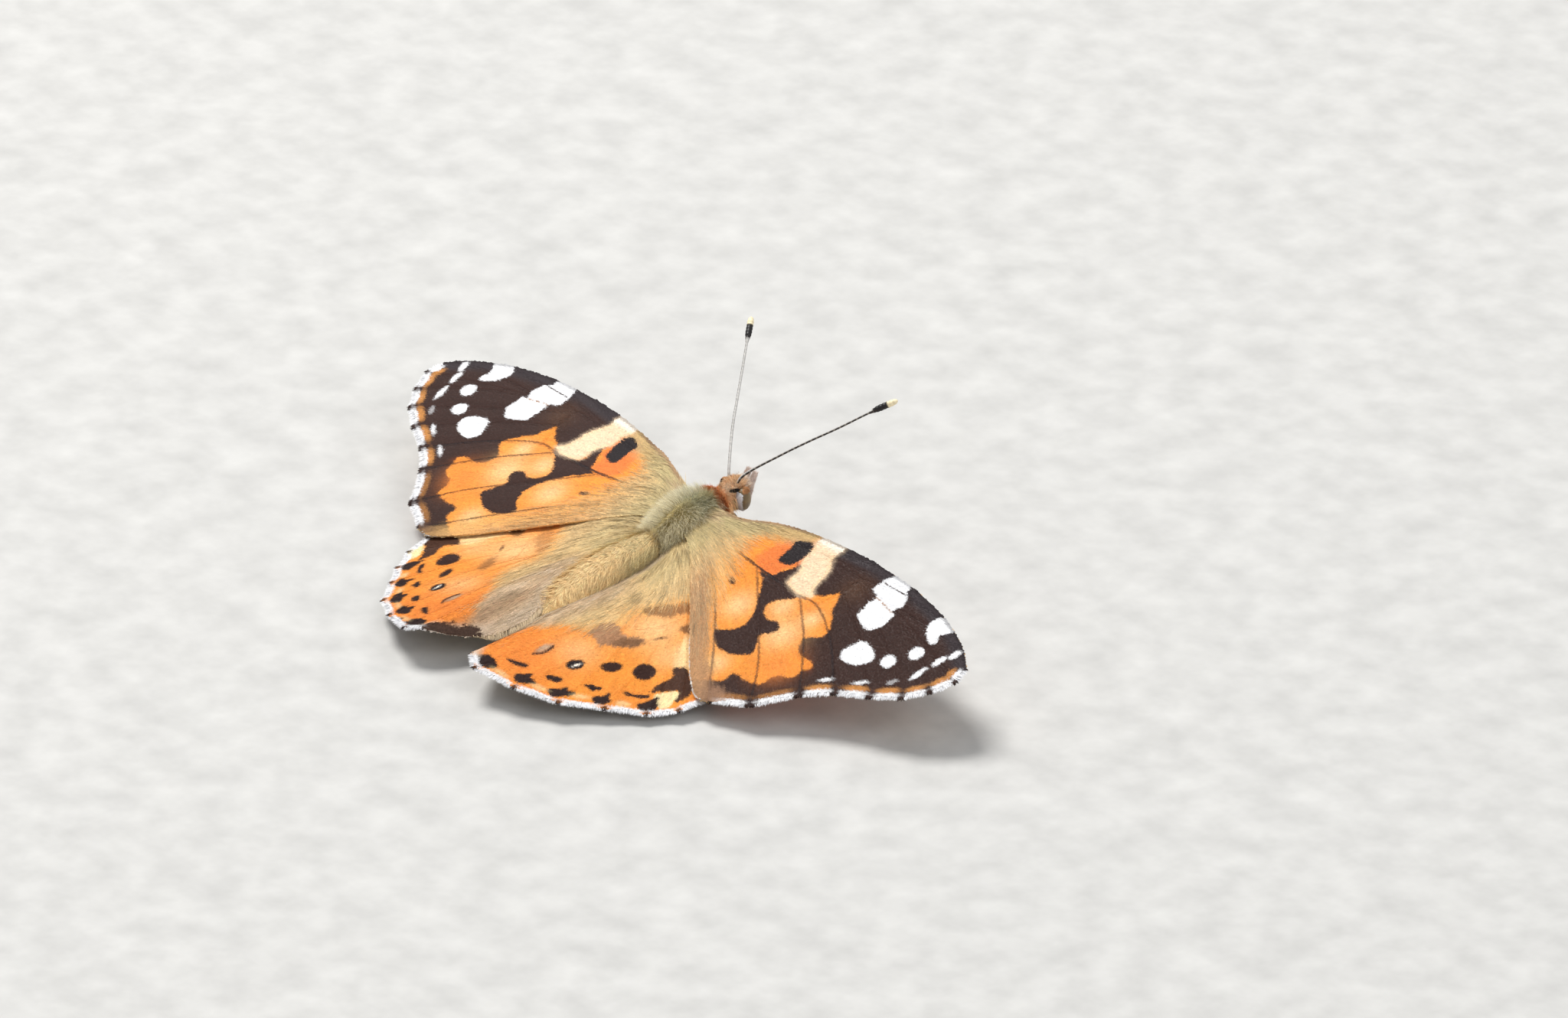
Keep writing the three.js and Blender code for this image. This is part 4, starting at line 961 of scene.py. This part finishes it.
def body_colours(p, normal):
    """Root and tip colour of the fur at points of the body."""
    x, y, z = p.T
    off = np.abs(x)
    rough = noise(x * 1.6 + 4, y * 1.3, 21) * 0.5 + noise(x * 4 + 1, y * 3.1 + z * 3, 22) * 0.5
    high = mix(MOSS, PALE_GREEN, np.clip(0.35 + 0.5 * rough, 0, 1))
    tail = ramp(-5.6 - y + 0.3 * rough, 0.9)
    low = mix(DEEP_TEAL, BRONZE, tail)
    high = mix(high, GOLDEN, tail)
    t, gap = segment(y)
    high = mix(high, BRONZE, 0.45 * np.exp(-(gap / 0.16) ** 2) * (t > 0.5) * tail)
    teal = np.exp(-(x / 1.7) ** 4 - ((y + 1.3) / 1.5) ** 2) * ramp(z + 0.6, 1.2)
    high = mix(high, TEAL, 0.8 * teal)
    green = ramp(y + 9.5 + 0.5 * rough, 3.5) * tail * ramp(z + 3.0, 1.0)
    high = mix(high, srgb(208, 200, 152), 0.9 * green)
    flank = ramp(-0.1 - z + 0.3 * rough, 1.2) * (1 - tail)
    high = mix(high, srgb(214, 198, 146), 0.45 * flank)
    low = mix(low, srgb(176, 158, 108), 0.5 * flank)
    shoulder = np.exp(-((off - 1.8) / 0.6) ** 2 - ((y + 0.7) / 0.8) ** 2 - ((z + 1.0) / 0.8) ** 2)
    high = mix(high, srgb(198, 176, 148), 0.9 * shoulder)
    collar = ramp(y - 0.12 + 0.25 * off * (z > 0) + 0.2 * rough, 0.5)
    low = mix(low, srgb(212, 142, 92), collar)
    high = mix(high, RUFOUS, collar)
    crown = ramp(y - 1.25 + 0.15 * rough, 0.35)
    low = mix(low, srgb(226, 168, 122), crown)
    high = mix(high, AMBER, 0.9 * crown)
    high = mix(high, srgb(240, 196, 128), 0.8 * ramp(off - 0.75, 0.3) * ramp(y - 2.0, 0.6))
    temple = np.exp(-((off - 0.45) / 0.25) ** 2 - ((y - 1.6) / 0.3) ** 2) * (z > 0)
    high = mix(high, IVORY, 0.8 * temple)
    throat = ramp(-0.35 - z, 0.5) * ramp(y - 0.3, 0.5) * ramp(2.3 - y, 0.5)
    high = mix(high, srgb(244, 206, 156), 0.8 * throat)
    belly = ramp(-0.25 - normal[:, 2], 0.6)
    return mix(low, srgb(140, 124, 100), belly), mix(high, IVORY, belly)


def body_skin():
    points = np.vstack([BODY.reshape(-1, 3), BODY[0].mean(0) + [0, 0.1, 0], BODY[-1].mean(0) - [0, 0.15, 0]])
    low, high = body_colours(points, np.vstack([BODY_NORMALS.reshape(-1, 3), [[0, 1, 0], [0, -1, 0]]]))
    dim = low * 0.7 + high * 0.15
    skin = piece("body_skin", points, shell(*BODY.shape[:2]), BODY_SKIN, dim)
    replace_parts(skin, "thorax", "head", "abdomen")


def body_points(rng, count, weight):
    """Random places on the body skin; weight says how dense the coat is at a point and upward tilt."""
    dense = weight(*np.moveaxis(BODY, -1, 0), BODY_NORMALS[..., 2])
    size = np.linalg.norm(np.roll(BODY, -1, 1) - BODY, axis=2) * ROW_STEP * dense
    chance = size[:-1].ravel() / size[:-1].sum()
    pick = rng.choice(len(chance), count, p=chance)
    i, j = pick // SIDES, pick % SIDES
    f, g = rng.uniform(0, 1, (2, count, 1))
    k = (j + 1) % SIDES

    def blend(q):
        return (q[i, j] * (1 - f) + q[i + 1, j] * f) * (1 - g) + (q[i, k] * (1 - f) + q[i + 1, k] * f) * g

    v = (BODY_WAY[i] * (1 - f[:, 0]) + BODY_WAY[i + 1] * f[:, 0]) / BODY_WAY[-1]
    u = (j + g[:, 0]) / SIDES
    return blend(BODY), unit(blend(BODY_NORMALS)), 0.02 + 0.96 * np.column_stack([u, v])


EYE = np.array([1.02, 2.22, -0.12])
EYE_HALF = np.array([0.60, 0.62, 0.94])
EYE_CLEAR = 1.05          # fur grows outside the eye made this much larger, as a square


def coat(name, count, weight, length, lift, droop, width, seed, lie, spread=0.22, tone=None):
    """Fur over the body; length and lift may depend on the skin's upward tilt."""
    rng = np.random.default_rng(seed)
    p, normal, uv = body_points(rng, int(count * FINE), weight)
    keep = (((np.column_stack([np.abs(p[:, 0]), p[:, 1:]]) - EYE) / EYE_HALF) ** 2).sum(1) > EYE_CLEAR
    p, normal, uv = p[keep], normal[keep], uv[keep]
    n = len(p)
    along = across(lie(p) + spread * rng.normal(size=(n, 3)), normal)
    low, high = body_colours(p, normal)
    if tone is not None:
        low, high = low * 0.4 + tone * 0.6, high * 0.25 + tone * 0.75
    vary = (1 + rng.normal(0, 0.16, n))[:, None]
    length, lift = (v(normal[:, 2]) if callable(v) else v for v in (length, lift))
    length = length * rng.uniform(0.7, 1.2, n)
    q, f, c, patches = blades(p, along, normal, length, width, lift + rng.normal(0, 0.12, n), droop,
                              low * vary, high * vary, uv, rng)
    piece(name, q, f, FUR, c, patches)


def in_thorax(x, y, z, up):
    return ramp(y + 6.0, 0.8) * ramp(0.5 - y, 0.8)


def around_thorax(x, y, z, up):
    """Top, rear and low flanks, whose standing hair makes a pale rim about the back."""
    ridge = ramp(up - 0.45, 0.35)
    low = 0.7 * ramp(0.15 - up, 0.25) * ramp(up + 0.45, 0.3)
    rear = 0.7 * ramp(-4.2 - y, 0.8) * ramp(up + 0.1, 0.4)
    return in_thorax(x, y, z, up) * (ridge + low + rear + 0.03) * ramp(-0.35 - y, 0.8)


def in_abdomen(x, y, z, up):
    return ramp(-5.4 - y, 0.8)


def on_flank(x, y, z, up):
    return in_abdomen(x, y, z, up) * ramp(0.75 - up, 0.3) * ramp(up + 0.35, 0.3) * ramp(y + 15.5, 2.0)


def in_head(x, y, z, up):
    return ramp(y - 0.3, 0.8)


def on_collar(x, y, z, up):
    return np.exp(-((y - 0.55 + 0.22 * np.abs(x)) / 0.3) ** 2) * ramp(up + 0.1, 0.5)


def on_throat(x, y, z, up):
    return np.exp(-((y - 0.85) / 0.5) ** 2) * ramp(0.35 - up, 0.5) * ramp(up + 0.95, 0.3)


def on_frons(x, y, z, up):
    return np.exp(-((y - 2.75) / 0.25) ** 2 - (x / 0.45) ** 2) * ramp(up - 0.1, 0.4)


def on_shoulder(x, y, z, up):
    return np.exp(-((np.abs(x) - 1.8) / 0.4) ** 2 - ((y + 1.15) / 0.5) ** 2 - ((z + 0.8) / 0.45) ** 2)


def combed(share, outward, y, z):
    """Lie of hair: a share of its place sideways, a push away from the middle, and the same y and z all over."""
    return lambda p: np.column_stack([share * p[:, 0] + outward * np.sign(p[:, 0]), *np.tile([[y], [z]], len(p))])


def halo_lie(p):
    return combed(0, 1.3, -0.35, 0.1)(p) - 0.8 * ramp(-3.6 - p[:, 1], 2.0)[:, None] * [0, 1, 0]


def head_lie(p):
    front = ramp(p[:, 1] - 2.0, 1.6)
    return np.column_stack([0.25 * p[:, 0], -0.8 + 1.4 * front, 0.45 + 0.3 * front])


def lower(base, more, at):
    """A measure that grows towards the flanks and belly."""
    return lambda up: base + more * ramp(at - up, 0.8)


body_skin()
coat("thorax_fur", 28000, in_thorax, lower(0.45, 0.45, 0.6), lower(0.32, 0.16, 0.5), 0.22, 0.042, 71,
     combed(0.5, 0, -1.0, -0.15))
coat("head_fur", 15000, in_head, lambda up: 0.4 + 0.25 * ramp(up, 0.8), 0.7, 0.3, 0.032, 72, head_lie)
coat("thorax_halo", 9500, around_thorax, 1.15, 1.15, 0.35, 0.019, 74, halo_lie, 0.3, PALE_HALO)
coat("collar_crest", 2600, on_collar, 0.85, 0.95, 0.5, 0.032, 76, combed(0.5, 0, -0.8, 0.3), 0.25,
     srgb(234, 164, 110))
coat("frons_tuft", 1600, on_frons, 0.95, 0.75, 0.4, 0.032, 81, combed(0.3, 0, 1.0, 0.45), 0.22,
     srgb(255, 238, 226))
coat("throat_hair", 2600, on_throat, 1.05, 0.6, 0.5, 0.03, 77, combed(0, 0.8, -0.1, -1.0), 0.3,
     srgb(240, 196, 142))
coat("shoulder_tuft", 1800, on_shoulder, 1.0, 0.85, 0.6, 0.04, 78, combed(0, 0.9, -0.9, -0.5), 0.3,
     srgb(236, 212, 192))
coat("abdomen_fur", 24000, in_abdomen, 0.42, 0.14, 0.16, 0.045, 73, combed(0.25, 0, -1.0, -0.2), 0.14)
coat("abdomen_flank", 10000, on_flank, 1.5, 0.42, 0.45, 0.028, 75, combed(0, 1.2, -1.0, 0.1), 0.25)

# ---------------------------------------------------------------- eyes, feelers, palps, tongue, legs


def ellipsoid(centre, half, rows, cols):
    a = np.linspace(0, np.pi, rows + 1)[1:-1]
    b = 2 * np.pi * np.arange(cols) / cols
    z = np.repeat(np.cos(a)[:, None], cols, 1)
    p = np.stack([np.sin(a)[:, None] * np.cos(b), np.sin(a)[:, None] * np.sin(b), z], -1).reshape(-1, 3)
    faces = [np.roll(f, 1, 1) for f in flipped(shell(rows - 1, cols))]
    return np.vstack([p, [[0, 0, 1], [0, 0, -1]]]) * half + centre, faces


def tube(path, radius, step, sides):
    """Round limb along a smooth path: points, faces, way from 0 to 1 and centre of each point, line and its way."""
    line = spline(path, step)
    way = unit(np.gradient(line, axis=0))
    side = unit(np.cross(way[0], [0.3, 0.2, 1.0]))
    rings = []
    t = np.linspace(0, 1, len(line))
    turn = 2 * np.pi * np.arange(sides) / sides
    for k in range(len(line)):
        side = unit(side - way[k] * (side @ way[k]))
        other = np.cross(way[k], side)
        rings.append(line[k] + radius(t[k]) * (np.cos(turn)[:, None] * side + np.sin(turn)[:, None] * other))
    p = np.vstack(rings + [line[:1], line[-1:]])
    centre = np.vstack([np.repeat(line, sides, 0), line[:1], line[-1:]])
    return p, shell(len(line), sides), np.concatenate([np.repeat(t, sides), [0, 1]]), centre, line, way


def on_limb(line, way, count, aside, rng):
    """Random places on a limb: index, angle, direction along, and normal."""
    at = rng.integers(0, len(line), count)
    turn = rng.uniform(0, 2 * np.pi, count)
    s1 = unit(np.cross(way[at], aside))
    s2 = np.cross(way[at], s1)
    normal = np.cos(turn)[:, None] * s1 + np.sin(turn)[:, None] * s2
    return at, way[at], normal, np.column_stack([0.1 + 0.8 * turn / 6.2832, 0.1 + 0.8 * at / len(line)])


def eye_material():
    mat = material("eye", srgb(124, 102, 68), rough=0.42, spread=0.18, grain=1500, bump=0.5, Coat_Weight=0.12,
                   Coat_Roughness=0.25)
    nodes, links = mat.node_tree.nodes, mat.node_tree.links
    cells = nodes.new("ShaderNodeTexVoronoi")
    cells.inputs["Scale"].default_value = 16000
    place = next(n for n in nodes if n.type == "TEX_COORD")
    links.new(place.outputs["Object"], cells.inputs["Vector"])
    relief = next(n for n in nodes if n.type == "BUMP")
    relief.inputs["Distance"].default_value = 0.02 * MM
    links.new(cells.outputs["Distance"], relief.inputs["Height"])
    return mat


BAND_TURNS = (-74, 26)    # reach of the eye's white band, in degrees from the rear


def band_edges(turn):
    """Lower and upper end of the white band at an angle from the rear; the band slants outwards below."""
    slant = np.clip((turn - BAND_TURNS[0]) / 100, 0, 1)
    return -34 - 26 * slant, 58 - 20 * slant


def eye_fur(rng, name, side, n, turns, heights, length, width, lift, colour, off):
    """Short hair over a part of the eye's rim; angles run from the rear outwards and up from its middle."""
    turn = rng.uniform(*turns, n)
    low, high = heights(turn) if callable(heights) else heights
    rise = np.radians(low + (high - low) * rng.uniform(0, 1, n))
    turn = np.radians(turn)
    way = np.column_stack([np.sin(turn) * np.cos(rise), -np.cos(turn) * np.cos(rise), np.sin(rise)])
    roots = EYE + way * (EYE_HALF + off * 0.5)
    down = np.column_stack([-np.sin(turn) * np.sin(rise), np.cos(turn) * np.sin(rise), np.cos(rise)])
    outward = np.column_stack([np.cos(turn), np.sin(turn), np.zeros(n)])
    if off:
        lie = outward + 0.15 * rng.normal(size=(n, 1)) * down
    else:
        lie = -down + 0.5 * outward + 0.2 * rng.normal(size=(n, 3))
    normal = unit(way / EYE_HALF)
    shade = colour * rng.uniform(0.82, 1.06, (n, 1))
    uv = 0.5 + 0.45 * np.column_stack([np.sin(turn) * np.cos(rise), np.sin(rise)])
    q, f, c, patches = blades(roots, across(lie, normal), normal, length * rng.uniform(0.8, 1.2, n), width,
                              lift * rng.uniform(0.7, 1.3, n), 0.3, shade * 0.9, shade, uv, rng)
    paired(name, side, "head", q, f, FUR, c, patches)


def eyes():
    shine = eye_material()
    for side, word in BOTH:
        eye = paired(f"eye_{word}_ball", side, "eye", *ellipsoid(EYE, EYE_HALF, 40, 56), shine, None)
        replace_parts(eye, f"eye_{word}")
        rng = np.random.default_rng(80 + side)
        eye_fur(rng, f"eye_{word}_white_band", side, 1500, BAND_TURNS, band_edges, 0.3, 0.10, 0.12, WHITE, 0.06)
        eye_fur(rng, f"eye_{word}_brow", side, 900, (40, 210), (62, 88), 0.36, 0.03, 0.25, srgb(196, 140, 94), 0.0)


def painted_socket_shadows():
    """Painted shadow: a short line of near-black hair blades behind each feeler, on top of the fur beside the eye,
    standing in for the shade at the feeler's socket between the crown's fur and the eye's white band.
    """
    rng = np.random.default_rng(79)
    n = 130
    way = unit([0.63, 0.78, 0.2])
    normal = np.tile(unit([0.6, -0.6, 0.55]), (n, 1))
    # near-black colour of the painted socket shadow
    dark = np.tile(srgb(24, 18, 16), (n, 1))
    for side, word in BOTH:
        spread = rng.normal(size=(n, 3)) * [0.03, 0.03, 0.05]
        roots = [0.8, 1.49, 0.76] + way * rng.uniform(-0.32, 0.22, (n, 1)) + spread
        along = unit(way + 0.08 * rng.normal(size=(n, 3)))
        p, f, c, patches = blades(roots, along, normal, np.full(n, 0.3), 0.07, 0.0, 0.0, dark, dark,
                                  0.5 + 0.3 * spread[:, :2], rng)
        paired(f"temple_{word}", side, "head", p, f, FUR, c, patches)


FEELER = [(0.45, 2.0, 0.9), (0.8, 2.3, 1.7), (2.95, 4.38, 3.78), (4.4, 5.99, 5.03), (5.85, 7.6, 6.2),
          (7.6, 9.55, 7.72), (8.9, 11.0, 8.72)]
CLUB_FROM = 0.86          # share of the feeler's length where its club begins
PALP = [(0.48, 2.85, -1.0), (0.44, 3.1, -0.4), (0.42, 3.35, 0.2), (0.4, 3.6, 0.75), (0.38, 3.86, 1.2)]


def feeler_radius(t):
    club = ramp(t - CLUB_FROM, 0.08)
    tip = math.sqrt(max(0.02, 1 - max(0.0, (t - 0.965) / 0.036) ** 2))
    return (0.085 + 0.025 * (1 - t) + 0.165 * club) * tip


def feelers():
    """Dark shafts with pale rings, pale on the inner and rear face, with a black club and a cream tip."""
    for side, word in BOTH:
        p, faces, t, centre, line, _ = tube(FEELER, feeler_radius, 0.045, 16)
        way = t * np.linalg.norm(np.diff(line, axis=0), axis=1).sum()
        pale = ramp(0.14 - np.abs((way / 0.5) % 1 - 0.5), 0.1) * (t < CLUB_FROM) * 0.55
        inward = ramp((p - centre) @ unit([-1.0, -0.5, 0.3]) - 0.03, 0.05) * (t < CLUB_FROM)
        tint = mix(srgb(46, 38, 34), srgb(176, 168, 156), pale)
        tint = mix(tint, srgb(214, 211, 206), 0.85 * inward)
        tint = mix(tint, srgb(22, 18, 18), ramp(t - 0.865, 0.03))
        tint = mix(tint, srgb(252, 236, 196), ramp(t - 0.945, 0.01))
        ringed = 1 + 0.05 * np.cos(2 * np.pi * way / 0.31)
        p = centre + (p - centre) * ringed[:, None]
        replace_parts(paired(f"antenna_{word}_feeler", side, "antenna", p, faces, HORN, tint), f"antenna_{word}")


def palps():
    for side, word in BOTH:
        p, faces, t, _, line, way = tube(PALP, lambda s: 0.25 * math.sqrt(max(0.03, 1 - 0.75 * s)), 0.06, 14)
        tint = mix(srgb(224, 180, 150), srgb(206, 156, 132), t)
        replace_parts(paired(f"palp_{word}_core", side, "palp", p, faces, BODY_SKIN, tint), f"palp_{word}")
        rng = np.random.default_rng(90 + side)
        n = int(2200 * FINE)
        at, forward, normal, uv = on_limb(line, way, n, [1.0, 0.1, 0.05], rng)
        radius = 0.23 * np.sqrt(np.maximum(0.04, 1 - 0.75 * at / len(line)))
        low, high = srgb(236, 204, 186), srgb(255, 242, 234)
        vary = rng.uniform(0.75, 1.15, (n, 1))
        roots = line[at] + normal * radius[:, None]
        q, f, c, patches = blades(roots, forward, normal, rng.uniform(0.28, 0.5, n), 0.035,
                                  rng.uniform(0.3, 0.7, n), 0.25, low * vary, high * vary, uv, rng)
        paired(f"palp_{word}_bristles", side, "palp", q, f, FUR, c, patches)


def tongue():
    """The coiled proboscis."""
    k = np.linspace(0, 1, 25)
    turn, r = 2 * np.pi * 0.95 * k, 0.3 + 0.3 * k
    coil = np.column_stack([np.zeros(25), 1.75 - r * np.sin(turn), -2.4 + r * np.cos(turn)])
    p, faces, t, *_ = tube(coil, lambda s: 0.14 + 0.06 * s, 0.05, 12)
    tint = mix(srgb(62, 44, 28), srgb(104, 74, 44), 0.5 + 0.5 * np.cos(t * 260))
    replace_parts(piece("proboscis_coil", p, faces, HORN, tint), "proboscis")


TOE = -FLOOR_DROP + 0.16  # height of a foot's middle line
LEGS = {
    "midleg": [(1.5, -2.2, -3.6), (3.0, -1.5, -3.9), (4.6, -0.7, -4.0), (5.7, -0.1, -5.2), (6.6, 0.4, TOE),
               (8.0, 1.1, TOE), (9.2, 1.65, TOE)],
    "hindleg": [(1.3, -4.2, -3.4), (2.5, -5.6, -3.8), (3.9, -7.1, -4.0), (4.7, -8.5, -5.2), (5.2, -9.7, TOE),
                (5.8, -11.2, TOE), (6.15, -12.4, TOE)],
    "foreleg": [(0.95, -0.1, -2.9), (1.15, 0.9, -3.3), (1.1, 1.7, -2.75), (1.0, 1.5, -2.05)],
}


def leg_radius(s):
    """Thick thigh, thin shin and a knotted foot."""
    thigh = 0.36 * math.sin(math.pi * min(1, max(0, s / 0.46 * 0.9 + 0.08)))
    knot = 0.02 * max(0, math.cos(s * 60)) if s > 0.62 else 0
    return max(0.17 - 0.05 * s, thigh if s < 0.42 else 0) + knot


def claws(line):
    """The two hooks of a foot."""
    tip, forward = line[-1], unit(line[-1] - line[-6])
    aside = np.cross(forward, [0, 0, 1.0])
    for s in (-1, 1):
        hook = [tip + a * forward + b * s * aside + [0, 0, c]
                for a, b, c in ((0, 0, 0), (0.16, 0.1, 0.07), (0.3, 0.15, -0.03), (0.33, 0.15, -0.12))]
        q, f, u, *_ = tube(hook, lambda v: 0.05 * (1 - 0.8 * v), 0.03, 8)
        yield q, f, np.tile(srgb(50, 34, 24), (len(u), 1))


def legs():
    for name, path in LEGS.items():
        walks = name != "foreleg"
        radius = leg_radius if walks else lambda s: 0.24 - 0.1 * s
        for side, word in BOTH:
            p, faces, t, _, line, way = tube(path, radius, 0.07, 12)
            points, tints = [p], [mix(srgb(196, 170, 130), srgb(160, 124, 86), t)]
            for q, f, c in claws(line) if walks else ():
                faces = faces + [g + sum(map(len, points)) for g in f]
                points.append(q)
                tints.append(c)
            p = np.vstack(points)
            p[:, 2] = np.maximum(p[:, 2], -FLOOR_DROP)
            limb = paired(f"{name}_{word}_limb", side, "leg", p, faces, HORN, np.vstack(tints))
            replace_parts(limb, f"{name}_{word}")
            rng = np.random.default_rng(100 + len(name) + side)
            n = int(1800 * FINE)
            at, forward, normal, uv = on_limb(line, way, n, [0.2, 0.1, 1.0], rng)
            size = np.array([radius(a / len(line)) for a in at])
            roots = line[at] + normal * (size[:, None] * 0.96)
            bristle = rng.uniform(0, 1, n) < 0.12
            shade = np.where(bristle[:, None], srgb(96, 70, 46), srgb(214, 192, 152))
            shade = shade * rng.uniform(0.75, 1.1, (n, 1))
            length = np.where(bristle, rng.uniform(0.25, 0.4, n), rng.uniform(0.16, 0.3, n))
            width, lift = np.where(bristle, 0.02, 0.06), np.where(bristle, 0.7, 0.12)
            keep = roots[:, 2] > -FLOOR_DROP + 0.06
            roots, forward, normal, length, width, lift, shade, uv = (
                v[keep] for v in (roots, forward, normal, length, width, lift, shade, uv))
            q, f, c, patches = blades(roots, forward, normal, length, width, lift, 0.15,
                                      shade * 0.85, shade, uv, rng)
            q[:, 2] = np.maximum(q[:, 2], -FLOOR_DROP + 0.01)
            paired(f"{name}_{word}_scales", side, "leg", q, f, FUR, c, patches)


eyes()
# painted shadow at each feeler's socket, made of dark hair blades
painted_socket_shadows()
feelers()
palps()
tongue()
legs()

# ---------------------------------------------------------------- floor, light and camera

FLOOR_HALF = 2.0          # in metres, as are the lamps and the camera's distance
AZIMUTH, ELEVATION = math.radians(51.2), math.radians(28.0)
RIGHT = Vector((math.cos(AZIMUTH), math.sin(AZIMUTH), 0))
BACK = Vector((-math.sin(AZIMUTH), math.cos(AZIMUTH), 0))
UP = Vector((*(BACK.xy * math.sin(ELEVATION)), math.cos(ELEVATION)))
TOWARD = RIGHT.cross(UP).normalized()
PX_PER_MM = 17.1
PHOTO_WIDTH = 2048
SENSOR = 36
DISTANCE = 1.2
TARGET = (Vector(NECK) + RIGHT * 5.497 - UP * 0.585) * MM


def added(name, data):
    obj = bpy.data.objects.new(name, data)
    bpy.context.scene.collection.objects.link(obj)
    return obj


def floor():
    mesh = bpy.data.meshes.new("floor")
    h = FLOOR_HALF
    mesh.from_pydata([(-h, -h, 0), (h, -h, 0), (h, h, 0), (-h, h, 0)], [], [(0, 1, 2, 3)])
    mesh.materials.append(material("floor", srgb(206, 205, 202), rough=0.8, spread=0.008, grain=300, bump=0.02))
    added("floor", mesh)


def lamp(name, place, size, watts, colour=(1, 1, 1)):
    data = bpy.data.lights.new(name, "AREA")
    data.shape = "DISK"
    data.size, data.energy, data.color = size, watts, colour
    obj = added(name, data)
    obj.location = TARGET + place * 0.9
    obj.rotation_euler = (-place).to_track_quat("-Z", "Y").to_euler()


def camera():
    data = bpy.data.cameras.new("camera")
    data.sensor_width = SENSOR
    data.lens = PX_PER_MM / MM * SENSOR * DISTANCE / PHOTO_WIDTH
    data.clip_start, data.clip_end = 0.05, 10
    obj = added("camera", data)
    obj.location = TARGET + TOWARD * DISTANCE
    obj.rotation_euler = TOWARD.to_track_quat("Z", "Y").to_euler()
    bpy.context.scene.camera = obj


def world():
    made = bpy.data.worlds.new("studio")
    made.use_nodes = True
    made.node_tree.nodes["Background"].inputs["Color"].default_value = (0.93, 0.96, 1.0, 1)
    made.node_tree.nodes["Background"].inputs["Strength"].default_value = 0.42
    bpy.context.scene.world = made


floor()
world()
camera()
lamp("key", -RIGHT * 0.35 + BACK * 0.35 + Vector((0, 0, 1)), 0.45, 9.5, (1, 0.985, 0.96))
lamp("fill", RIGHT * 0.6 - BACK * 0.8 + Vector((0, 0, 0.8)), 0.8, 3)
bpy.context.scene.view_settings.view_transform = "Standard"
